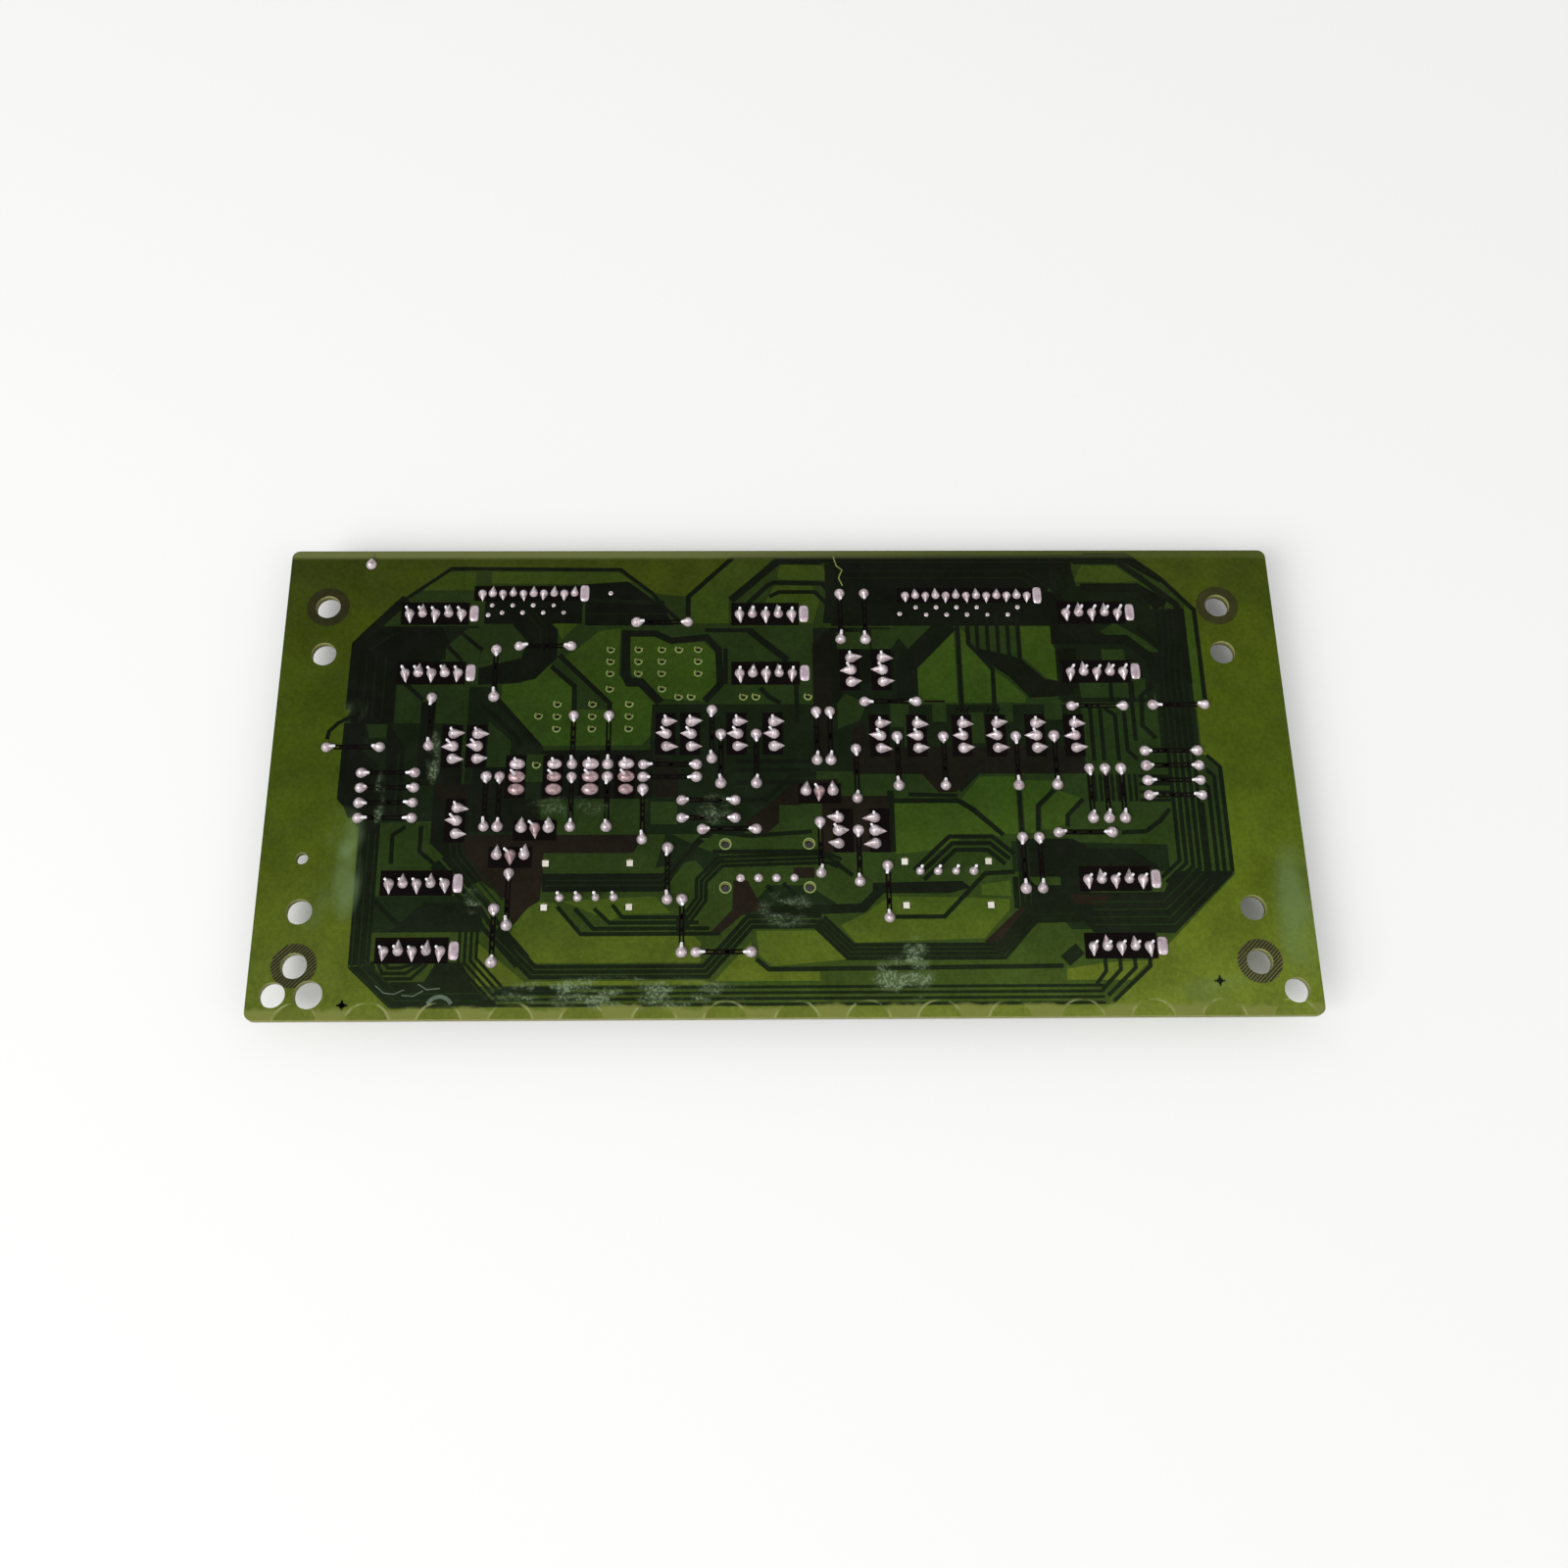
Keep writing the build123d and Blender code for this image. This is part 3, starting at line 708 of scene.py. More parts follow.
inner_area = [
    (-82.4, 13), (-82.3, 26.5), (-74.5, 34.9), (-66.5, 42), (-64.9, 43.1), (-31.7, 42.8), (-25.4, 37.6),
    (-18.3, 36.8), (-9.3, 46.2), (68.2, 46.2), (74.8, 41.1), (80.9, 33.8), (81.1, 14), (79.4, 14),
    (79.4, 3.4), (83, 0.6), (83, -20.6), (60, -43), (58.5, -44.9), (-71, -44.9), (-78.8, -37.5),
    (-79, -11), (-83.4, -5), (-83.4, 10),
]
copper_layer("pour_copper", 1, pour_lacquer, areas=[inner_area], replaces="solder_side_tracks")

open_areas = [
    [(-53.8, 18), (-50, 18.4), (-48.8, 20.3), (-45.4, 23), (-39.5, 17.5), (-39.5, 12.8), (-33.5, 12.8),
     (-33.5, 14), (-42.5, 23.5), (-39.2, 26), (-35.4, 29.5), (-31.5, 29.9), (-31.5, 20), (-30, 18.4),
     (-27.3, 18.4), (-23.5, 14.2), (-24.5, 8), (-27, 5.4), (-46, 5.3), (-54, 14)],
    [(-30, 28.2), (-24.6, 28.2), (-21.5, 26.6), (-15.3, 27), (-12.8, 24.5), (-12.8, 18), (-15, 14.5),
     (-23, 15), (-27, 19), (-29, 20)],
    [(-44.6, 31.1), (-39.6, 31.1), (-42.7, 27.6)],
    [(-73.6, 36.6), (-66.5, 42.4), (-60, 42.4), (-60, 38.3), (-71, 38.3)],
    [(-57, 42.4), (-32, 42.2), (-29, 39.9), (-36, 39.6), (-57, 39.8)],
    [(33.5, 30), (33.5, 14), (23.7, 14), (23.7, 21.5), (32.5, 30.5)],
    [(20.5, -6.4), (32.5, -6.4), (35, -8.2), (40.2, -13), (33, -13.3), (29.5, -15.5), (20.5, -16.5)],
    [(-17.8, 31), (-17.8, 36.6), (-9.1, 45.3), (-1.5, 45.3), (-9.6, 36.8), (-10.4, 36), (-10.4, 31)],
    [(-5.5, 31), (6, 31), (7.5, 36), (6, 39.2), (-1.5, 39.2)],
    [(-0.5, 40.6), (8.6, 40.4), (9.2, 41.4), (8, 43.8), (0, 43.8), (-0.8, 42)],
    [(-49.5, -29.8), (-46, -25.2), (-42, -25.6), (-37.3, -31.9), (-17, -31.9), (-15.5, -33), (-15.5, -36.8),
     (-45.4, -36.8), (-50, -31.5)],
    [(-41, -25.2), (-24, -24.4), (-21, -27.6), (-29.8, -27.8), (-32, -29)],
    [(-5.5, -31), (6, -31), (11, -36.4), (-2.5, -37.6), (-5, -35.5)],
    [(-13, -40.3), (-6.4, -33), (-5.8, -36.4), (-3.4, -38.6), (6, -38.6), (6, -40.3)],
    [(-46, -40.2), (-15, -40.1), (-12, -40.9), (-49, -40.9)],
    [(14.8, -27.6), (19, -24.6), (31, -24.8), (41, -25.2), (41, -27), (36, -32.6), (12.6, -33.3), (10, -30)],
    [(36, -22.4), (41.4, -21.6), (41.4, -24.6), (36, -24.4)],
    [(50.5, -38.4), (57.5, -37.2), (66, -36.8), (62, -40.4), (50.5, -40.4)],
    [(-55.8, -33), (-46.2, -41), (-55.8, -41)],
    [(57.5, 40), (59.6, 43.6), (66, 43.6), (70.5, 40.2), (66, 39.8)],
    [(70.2, 34.5), (74, 32), (74, 26.5), (70.2, 29.5)],
    [(79.1, 14), (80.7, 14), (80.7, 33.4), (79.1, 34.8)],
    [(34.8, 14), (34.8, 30), (36, 28.5), (36, 26), (40.2, 21.4), (40.2, 14)],
    [(41, 14), (41, 20.6), (43.4, 18.8), (46.6, 15.4), (46.6, 14)],
    [(46.6, 23.6), (46.6, 30.2), (52.4, 30.2), (52.4, 26.4), (53.4, 25), (53.4, 18.4), (51, 19.2)],
    [(33.2, -5.6), (36.8, -1.2), (43.5, -1.2), (43.5, -12.6), (41, -12.6), (36, -7.6)],
    [(44.8, -2), (50.4, -2), (50, -4.4), (47, -7.2), (46.7, -12.4), (44.8, -12.4)],
    [(51.4, -4), (56, -5.6), (52.8, -8.8), (52.2, -11.6), (48, -11.8), (48, -7.6)],
]
copper_layer("open_copper", 2, open_lacquer, areas=open_areas)

deep_areas = [
    [(-82.2, 10), (-82.2, 26.4), (-78.5, 30.5), (-59, 30.5), (-59, 27), (-66, 23), (-70, 22), (-74, 18),
     (-74, 10)],
    [(-83.3, 10), (-62, 10), (-62, -9.5), (-78.8, -10.2), (-83.3, -5)],
    [(-56.5, 17.5), (-53.5, 14.5), (-45.5, 5.2), (-45.5, -15), (-60, -15), (-60, 17.5)],
    [(-75, -24.2), (-57, -24.2), (-55.2, -26.5), (-55.2, -31), (-75, -31)],
    [(-25, 13.8), (6, 13.8), (6, -4), (-8, -12.4), (-26, -12.4)],
    [(6, 0), (23, 0), (23, 22), (25, 24.6), (21, 30), (6, 30)],
    [(53, 14), (71, 14), (75, 26), (71, 39), (53, 39)],
    rectangle(24, 57, 3, 13.6),
    rectangle(71.8, 79, 4, 34),
    [(44.6, -27.6), (56, -27.6), (56, -31), (52, -31), (50.6, -29.2), (46.6, -28.9)],
    [(53, 46), (57, 46), (58.4, 38), (53, 38)],
    [(-22, -12), (-15.8, -15), (-11, -17), (-14.5, -20), (-16.5, -17.5), (-24, -19)],
    [(42, -14), (71, -14.8), (71, -20), (42, -20)],
    [(-3, -22.4), (4, -22.4), (10, -26.4), (2, -28), (-8, -28)],
]
copper_layer("deep_copper", 3, deep_lacquer, areas=deep_areas)

dark_areas = [
    [(-82.2, 10), (-82.2, 26.2), (-78.6, 30.4), (-74.2, 30.4), (-74.2, 10)],
    [(-83.1, 10), (-79.4, 10), (-79.4, 3), (-74.6, -1.5), (-76, -8.6), (-80.6, -8.6), (-83.1, -5)],
    [(-75, 10), (-71.6, 5.3), (-71.2, -9), (-74, -9), (-75, 4)],
    [(-74.4, 22.6), (-66.5, 22.6), (-64, 26), (-66, 30.2), (-74.4, 30.2)],
    [(-69, 14.4), (-66.2, 14.4), (-66.2, 2), (-60.5, 2), (-60.5, -2.6), (-69, -2.6)],
    rectangle(-78.8, -75, -37, -10),
    [(-78.8, -37.5), (-75, -37), (-68.5, -43.5), (-52, -43.5), (-52, -44.8), (-71, -44.8)],
    [(-71, -40.2), (-65, -40.2), (-63, -36.6), (-58.4, -36.6), (-56.6, -40.4), (-52.6, -44.7), (-71, -44.7)],
    [(-72, -31), (-66, -25.4), (-57.4, -25.4), (-55.4, -27), (-55.4, -31)],
    rectangle(-58, -39, 31, 36),
    [(-57, 36), (-51, 36), (-43.6, 29.8), (-43.6, 23.6), (-47.6, 19.2), (-51, 18.4), (-58.5, 18),
     (-58.5, 21.5), (-50.5, 23.6), (-49.3, 27), (-53, 31.5)],
    [(-38.4, 30.6), (-21.2, 30.6), (-23.1, 34.5), (-30.2, 40.2), (-38.4, 39.6)],
    [(-65.6, -2.6), (-58.6, -2.6), (-58.6, -15.4), (-54.2, -20.8), (-57.5, -22), (-65.6, -14)],
    rectangle(-45.6, -24.6, -5.4, 4.4),
    [(-58.4, 1.6), (-48.6, 1.6), (-48.6, -5.4), (-46, -5.4), (-46, -11.8), (-58.4, -11.8)],
    [(72, -20), (82.6, -20), (82.6, -20.6), (70.8, -31.8), (56, -31.6), (54, -29), (54, -24), (69.5, -24)],
    [(43, -13.6), (53.4, -13.6), (56, -15), (56, -27.4), (43, -27.4)],
    [(53.6, -15.4), (64.4, -15.6), (69.2, -19.4), (53.6, -19.4)],
    [(36.5, 26), (40, 25), (44, 24), (46.3, 23.2), (50.6, 18.9), (56, 18), (56, 15.5), (47.5, 15),
     (43.7, 19.5), (41, 21.5)],
    [(-44.6, -20), (-22.5, -20), (-17, -14), (-15, -12), (-13.4, -12.6), (-17, -15.5), (-22.5, -23.5),
     (-44.6, -23.5)],
    [(16, -22), (32.5, -21.7), (34, -23), (30, -24), (16, -24)],
    [(9.6, 30.4), (52.4, 30.4), (52.4, 38), (56.4, 44.2), (68.2, 44.2), (74.8, 39.8), (75.4, 41), (69, 45.9),
     (3, 46), (3, 44.3), (9.6, 44.3)],
    [(52.4, 26.4), (61, 26.4), (61, 31.4), (54.4, 37), (52.4, 38)],
    [(59, 38.2), (70.4, 38.2), (75, 34), (76, 36), (70.4, 39.6), (59, 39.6)],
    rectangle(53.6, 57, 17, 25.4),
    [(9.4, 14), (11.2, 14), (11.2, 26), (14, 26), (14, 30), (9.4, 30)],
    rectangle(13.4, 21.6, 18, 25),
    rectangle(-52.4, -40, -42.6, -41.6),
]
copper_layer("dark_copper", 4, dark_lacquer, areas=dark_areas)

brown_areas = [
    [(13, -0.6), (57, -0.6), (57, 4.8), (17, 4.8), (15, 10), (13, 8)],
    [(25.3, 0.3), (29, -4.3), (32.2, -4.3), (36, -0.5)],
    [(-7.5, -10.5), (-5, -12.3), (-3, -12), (3.5, -6), (10, -5.5), (10, -1.6), (3, -1.8), (1.5, -2.5)],
    [(-60, -12.5), (-28, -12.5), (-26.5, -12.8), (-28, -16), (-44.6, -16), (-44.6, -20.2), (-45, -25.2),
     (-47.3, -26.7), (-49.6, -29.8), (-51, -25), (-55.4, -21.7), (-60, -15)],
    [(-9.6, -21.5), (-7, -21.5), (-4.2, -27), (-8, -28), (-12, -31.5), (-14, -31.5), (-9.8, -27)],
    rectangle(1.5, 5.3, -21, -19),
    [(36, -33.2), (43, -26.7), (46.8, -29), (39, -36)],
    [(5.8, 26.5), (9.4, 30), (9.4, 3), (5.8, 3)],
    [(-66, -2.4), (-58.8, -2.4), (-58.8, -5.6), (-64, -5.6)],
    [(-24.4, -5), (-20, -5), (-20, 2), (-24.4, 3)],
    rectangle(7, 19.6, -16, -5),
    [(52, -24.4), (60, -24.6), (58, -26.4), (53, -26.2)],
    [(53, 41.6), (57, 41.6), (58, 45.6), (53, 45.6)],
]
copper_layer("brown_copper", 5, brown_lacquer, areas=brown_areas)

green_patches = [
    [(-79.2, 9.8), (-75.2, 9.8), (-75.2, 7), (-78.4, 7)],
    [(-73.6, 17.6), (-70.4, 17.6), (-69.6, 13), (-71, 10), (-73.6, 11)],
    [(-65, 22.4), (-58.4, 22.4), (-58.4, 30), (-61, 30), (-65, 26)],
    [(-56, 10.4), (-51.6, 6.4), (-51.6, 1), (-56, 1)],
    rectangle(-48.5, -44.8, -2, 3.6),
    rectangle(-38.5, -33, -12, -6.6),
    rectangle(-25, -20, -10.5, -6),
    [(-74.4, -10.4), (-66.6, -10.4), (-65.6, -14.4), (-63.6, -18.8), (-74.4, -18.8)],
    [(-1, -6.8), (4.6, -6.8), (5.4, -12), (-1, -12)],
    rectangle(10.6, 17, 25.4, 29),
    [(17.4, 25.4), (21, 25.4), (24, 29.6), (17.4, 29.6)],
    [(10.4, 8.6), (14.6, 10.4), (16, 13.8), (12, 16), (10.4, 14)],
    rectangle(20.5, 23, 9, 14),
    rectangle(28.5, 31.2, 10, 14),
    rectangle(35.6, 38.3, 5.6, 12),
    rectangle(41.4, 44, 10, 14),
    rectangle(50, 53.4, 10.4, 14.6),
    [(57.4, 14), (68.4, 14), (66.6, 2.4), (57.4, 2.4)],
    rectangle(62, 66.4, 22.4, 25.2),
    [(57, 19), (70, 19), (70, 15), (57.4, 15)],
    [(65, 31), (70.4, 27.4), (73.4, 24.6), (70, 24.6), (62, 29)],
    [(44.4, -21), (50.6, -21), (50.6, -22.6), (46, -22.6)],
    [(-44.6, -16.2), (-25.4, -16.2), (-24, -19.6), (-44.6, -19.6)],
    [(-15.8, -13.2), (6.4, -13.2), (6.4, -15.2), (-13, -15.2)],
    rectangle(1, 6, -29.4, -28.6),
]
copper_layer("green_patches", 6, pour_lacquer, areas=green_patches)

tracks = [
    (0.7, [(-20, 31.5), (-23.1, 34.5), (-25.4, 37.6), (-31.7, 42.8), (-64.9, 43.1), (-73.4, 36.5)]),
    (1.9, [(-73.4, 36.5), (-81.1, 28), (-82.3, 26.5), (-82.4, 13)]),
    (0.8, [(-62.8, 29.5), (-58, 25.3)]),
    (0.8, [(-65, 26.5), (-61.8, 23)]),
    (0.8, [(-73, 18.8), (-68.8, 14.9)]),
    (0.7, [(-86.3, 6.8), (-86.1, 8.4), (-84.5, 10.1), (-81.8, 11.7)]),
    (0.7, [(-83, 10), (-83.1, -5.1), (-81.8, -6.6), (-80.7, -8.9)]),
    (0.7, [(-79.9, 4.2), (-76.5, 1.1)]),
    (0.9, [(-44.6, 21.8), (-40, 17.6), (-39.9, 12.6)]),
    (0.9, [(-43.1, 24.2), (-33.1, 14), (-33.2, 12.6)]),
    (0.9, [(-55.5, 17), (-54.2, 14.5), (-46.2, 5.3)]),
    (0.8, [(-57.5, 14), (-50.5, 7), (-50, 5)]),
    (1.7, [(-30.3, 29.5), (-30.3, 20), (-29.5, 18.4), (-27.3, 18.4), (-23.5, 14.2)]),
    (1.3, [(-30.8, 28.8), (-24.6, 28.8), (-21.5, 27.2), (-14.7, 28), (-12.4, 25.3), (-12, 18), (-15, 14.5)]),
    (0.8, [(-11, 25.5), (-11, 18)]),
    (0.9, [(-18.3, 32.6), (-18.3, 36.8), (-9.3, 45.7), (3, 45.8)]),
    (1.5, [(-10, 36), (-0.5, 44.8), (8, 44.6)]),
    (0.9, [(-6.6, 35.3), (-2.8, 39.2), (-1.5, 39.9), (8, 39.7), (9.9, 37.2)]),
    (0.8, [(-2.4, 36.8), (-0.5, 37.8), (6.5, 37.8), (8.8, 35.3)]),
    (2.0, [(9.6, 44), (9.6, 36), (9, 31)]),
    (0.8, [(-15, 29.5), (-5.5, 29.5)]),
    (1.3, [(-6.5, 29.5), (1, 23)]),
    (0.9, [(-4.3, 17.2), (-2.8, 15.4), (-0.5, 14)]),
    (0.8, [(2.6, 18), (2.6, 10)]),
    (4.0, [(32.5, 31), (24, 22), (24, 14.5)]),
    (0.8, [(34.2, 33.5), (34.2, 12)]),
    (0.8, [(36.2, 32), (36.2, 26.5), (37.5, 25), (40.6, 21), (40.5, 12)]),
    *[(0.7, [(38 + 2 * step, 33), (38 + 2 * step, 25 - step)]) for step in range(5)],
    (0.8, [(60, 46), (68.2, 46), (69, 45.7), (74.8, 40.9), (79.4, 35.6), (81, 33.8), (81.2, 14)]),
    (1.2, [(58, 44.5), (66.7, 44.5), (72, 40), (77.5, 35), (78.3, 33), (78.5, 18)]),
    (1.4, [(60, 38.5), (70.5, 38.5), (74, 34)]),
    *bundle(3, 0.8, 0.45, [(54.6, 43), (54.6, 39.2), (56, 37.8)]),
    *bundle(5, 0.7, 0.5, [(76.1, 34), (76.1, 26), (75.4, 22), (75.4, -19), (71, -23)]),
    (0.8, [(69.4, 29.9), (73.2, 25.7)]),
    (1.8, [(58, 27.4), (67, 27.4), (71.4, 23.4), (72, 18)]),
    (0.8, [(63.2, 18.4), (63.2, 14)]),
    (0.8, [(67.3, 18.4), (67.3, 14)]),
    (0.8, [(71.3, 17.6), (68.6, 15)]),
    (0.8, [(58.8, 13), (58.8, 2)]),
    (0.8, [(60.7, 13), (60.7, 2)]),
    (0.8, [(61.5, 12.8), (63.5, 11.3), (63.5, 2)]),
    (0.8, [(65.3, 12), (65.3, 4), (67.1, 2.2)]),
    (0.8, [(67, 18), (67, 6)]),
    (0.8, [(69, 15), (68.6, 9.2), (70.9, 6.5)]),
    (0.7, [(80.2, 3), (82.5, 0.7), (82.6, -20)]),
    (0.7, [(79.8, 0.2), (81.2, -1.2), (81.2, -20)]),
    (0.7, [(78.8, -2.2), (79.9, -3.4), (79.9, -20)]),
    (0.7, [(78.4, -6.5), (78.4, -20)]),
    (0.8, [(62.8, -12.4), (67.3, -12.2), (70.2, -10.1), (72.1, -7.8)]),
    (0.8, [(52, -12.3), (60, -12.3)]),
    *[(0.8, [(-9, y), (5, y)]) for y in (2, 0.3, -2.2)],
    (0.8, [(-10, -5.7), (-3.5, -5.7), (1.5, -0.8), (6, -0.5)]),
    (0.8, [(-15, -11.7), (-6.6, -12.8), (-0.5, -12.4), (5, -12)]),
    (0.9, [(19.8, -6), (32.5, -6), (35.2, -7.8), (40.6, -12.8)]),
    (0.7, [(23.3, -4.7), (32.5, -5)]),
    (0.7, [(33, -4), (36.4, -0.5)]),
    *bundle(3, 0.8, 0.5, [(24.6, -20.5), (31, -14.4), (38, -14.4), (41.5, -17.5)]),
    (0.8, [(44.1, -4), (44.1, -12.5)]),
    (0.8, [(50.6, -4), (47.5, -7), (47.2, -12)]),
    (0.8, [(56, -5.8), (52.9, -9), (52.7, -11.2)]),
    (1.2, [(19.9, -4), (19.9, -16)]),
    (0.7, [(-41.7, -26.3), (-37.3, -31.5), (-12, -31.5)]),
    (0.7, [(-38.5, -26.7), (-35, -30.5), (-14, -30.5)]),
    (0.7, [(-35, -26.7), (-32.1, -29.4), (-16, -29.4)]),
    (0.7, [(-31.7, -26), (-29.8, -28.4), (-18, -28.4)]),
    *bundle(3, 0.6, 0.25, [(-20, -29.9), (-19, -29.9), (-15.5, -25), (-15.5, -21.5), (-12, -17.8),
                           (8, -17.2), (10, -18.2)]),
    (0.8, [(-13.4, -15.9), (6.6, -15.9), (12.4, -20.6)]),
    (0.7, [(-3.5, -22.5), (0.7, -26.7)]),
    (0.7, [(-0.5, -22), (3, -25.5)]),
    (1.7, [(-4, -27.4), (14, -26.8), (18, -22.8)]),
    *bundle(3, 0.75, 0.2, [(-53, -31), (-45.6, -38.5), (-14.6, -38.5), (-6.6, -29.3), (6.4, -29.3)]),
    *bundle(4, 0.7, 0.12, [(6, -29.3), (11.6, -35), (39, -35), (45, -28.2), (54, -28)]),
    *bundle(3, 0.8, 0.5, [(-64, -17.6), (-55.4, -27), (-53.8, -29.6), (-47.6, -36.6)]),
    (0.8, [(-5.5, -36.3), (-3.2, -38.2), (50, -37.8)]),
    (2.4, [(50.4, -36.9), (53.2, -34.6)]),
    *bundle(4, 0.5, 0.55, [(-57.5, -31), (-57.5, -36.5), (-51.5, -43), (57, -43)]),
    (0.8, [(20, -28.5), (28.9, -28.5), (36.8, -20.3), (42.2, -20)]),
    (1.0, [(42.3, -21), (42.3, -27)]),
    (0.8, [(63.2, -16.7), (65.2, -19)]),
    *[(0.55, [(57.4 + 1.1 * step, -6.2), (57.4 + 1.1 * step, -0.8)]) for step in range(9)],
    *[(0.6, [(66.8, -1.2 - 1.6 * step), (73, -1.2 - 1.6 * step)]) for step in range(4)],
    *[(0.7, [(57.6 + 2.7 * step, -36.4), (57.6 + 2.7 * step, -38.8 + step * 0.3),
             (55.7 + 0.95 * step, -41.2 - 1.05 * step)]) for step in range(4)],
    *[(0.6, [(-74.6 + step, -36.4), (-73.6 + step, -39.6 + step), (-67.4 - step, -39.6 + step),
             (-64.6 - step, -36.8)]) for step in range(3)],
    (0.8, [(-75, -25), (-70.5, -29.5)]),
    (0.8, [(-72.5, -18), (-72.6, -12.4), (-70.3, -10.8)]),
    (0.8, [(-67.4, -10.6), (-67.4, -15.6), (-63, -19.4)]),
]
copper_layer("track_copper", 7, track_lacquer, lines=tracks)

# Narrow gaps that show between the tracks of a dense run
gap_lines = [
    (0.5, [(-75.3, 28.8), (-79.9, 25.3)]),
    *bundle(3, 0.35, 1.5, [(-78.2, 24), (-78.2, 11)]),
    (0.5, [(-72.5, 4), (-72.5, -8)]),
    *bundle(3, 0.35, 0.9, [(-76.9, -12), (-76.9, -37), (-70, -43.6), (-55, -43.6)]),
    (0.9, [(-23, 35.4), (-38, 36)]),
    (0.4, [(-38, 33), (-23, 33)]),
    *bundle(4, 0.35, 1.1, [(56, -28), (70, -28), (77.4, -21)]),
    *bundle(2, 0.35, 0.9, [(5, 45), (67.5, 45), (72, 41.6)]),
    *bundle(2, 0.3, 1.2, [(12, 41.6), (48, 41.6), (52, 38)]),
    *bundle(2, 0.3, 0.9, [(-50, 34.6), (-46.4, 30), (-46, 24.6)]),
    *bundle(3, 0.3, 0.8, [(-62, -6), (-60.4, -16.4), (-52.6, -25.6)]),
    *bundle(2, 0.3, 0.8, [(44.4, -15), (44.4, -26)]),
    *bundle(2, 0.3, 0.7, [(-44, -21.8), (-22.6, -21.8), (-17, -15)]),
]
copper_layer("gap_copper", 8, deep_lacquer, lines=gap_lines)


# Ink and marks on top of the lacquer


digit_joints = joint_places("digit_joints")
connector_joints = joint_places("connector_joints")
transistor_joints = joint_places("transistor_joints")
pair_joints = joint_places("two_lead_joints")
lamp_joints = joint_places("lamp_joints")
lone_joint = max(pair_joints, key=lambda joint: joint[1])
transistor_names = sorted(
    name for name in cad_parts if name.startswith("transistor_") and name != "transistor_joints"
)
empty_lamp_x = -3.3
lamp_width = 18
pair_spacing = 10
legend_low = board_top - copper_step
legend_high = board_top + copper_step * 9

# Each box round a row of joints: its reach to the left, to the right, and to the front and back
digit_box = (1.6, 1.4, 2.4)
connector_box = (1.6, 1.6, 1.6)
bar_offset = 0.33
bar_inset = 1.4
bar_width = 0.3
blotches_per_pair = 4
blotch_sides = 7
dash_row_y = 12.1
cross_places = ((-79.3, -44.4), (78, -40.7))
cross_arm = 0.95


def in_empty_lamp(x):
    return abs(x - empty_lamp_x) < lamp_width / 2


def box_mm(node):
    low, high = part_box(node)
    return low / mm, high / mm


def transistor_place(name):
    """Its middle and whether its leads stand in a row from front to back."""
    low, high = box_mm(name)
    return (low.x + high.x) / 2, (low.y + high.y) / 2, high.y - low.y > high.x - low.x


def in_rows(places):
    """Joints that stand in one level row, as lists."""
    widest_pitch = 5
    rows = {}
    for x, y, _ in places:
        rows.setdefault(round(y, 1), []).append(x)
    found = []
    for y, xs in rows.items():
        xs.sort()
        row = [xs[0]]
        for x in xs[1:]:
            if x - row[-1] > widest_pitch:
                found.append((row, y))
                row = []
            row.append(x)
        found.append((row, y))
    return found


def pair_partners():
    """Each two-lead part as its two joints: their tails point at each other."""
    pairs = []
    for joint in pair_joints:
        x, y, tail = joint
        if round(math.cos(math.radians(tail))) == 1:
            pairs.append(((x, y), (x + pair_spacing, y)))
        elif round(math.sin(math.radians(tail))) == 1 and joint != lone_joint:
            pairs.append(((x, y), (x, y + pair_spacing)))
    return pairs


def draw_boxes(shape):
    for joints, (left, right, reach) in ((digit_joints, digit_box), (connector_joints, connector_box)):
        for row, y in in_rows(joints):
            outline = rectangle(row[0] - left, row[-1] + right, y - reach, y + reach)
            plate(shape, outline, legend_low, legend_high)
    for name in transistor_names:
        x, y, upright = transistor_place(name)
        if upright:
            outline = rectangle(x - 1.6, x + 2.2, y - 4.3, y + 4.3)
        else:
            outline = rectangle(x - 4, x + 4, y - 2, y + 2)
        plate(shape, outline, legend_low, legend_high)


def draw_pair(shape, first, second):
    """Two bars between the joints of a two-lead part, run together in a few blotches."""
    first, second = Vector(first), Vector(second)
    along = (second - first).normalized()
    side = Vector((-along.y, along.x))
    for offset in (-bar_offset, bar_offset):
        start = first + along * bar_inset + side * offset
        end = second - along * bar_inset + side * offset
        line(shape, [start, end], bar_width, legend_low, legend_high)
    for _ in range(blotches_per_pair):
        spot = first.lerp(second, random.uniform(0.25, 0.75))
        outline = circle_points(spot.x, spot.y, random.uniform(0.3, 0.5), blotch_sides)
        plate(shape, outline, legend_low, legend_high - hair * hairs)


def make_legend():
    shape = bmesh.new()
    draw_boxes(shape)
    for first, second in pair_partners():
        draw_pair(shape, first, second)
    strokes = [(0.3, [(x + step, dash_row_y), (x + step + 0.5, dash_row_y + 0.8)])
               for x in (33, 39) for step in range(3)]
    strokes.append((0.35, [(27, 14.3), (31, 14.3)]))
    strokes.append((0.9, [(lone_joint[0], lone_joint[1] + 0.8), (lone_joint[0], board_back - 0.6)]))
    for x, y in cross_places:
        strokes.append((0.32, [(x + cross_arm, y), (x - cross_arm, y)]))
        strokes.append((0.32, [(x, y + cross_arm), (x, y - cross_arm)]))
        ring(shape, x, y, 0.4, 0.3, legend_low, legend_high, count=12)
    for width, route in strokes:
        line(shape, route, width, legend_low, legend_high)
    finish_piece("legend", shape, [legend_ink])


make_legend()


# Pale rings round the open peg holes, pale arcs on the lead holes that are painted highlights of their rims,
# a long scratch at the back edge, and scratches and an arc of flux in front


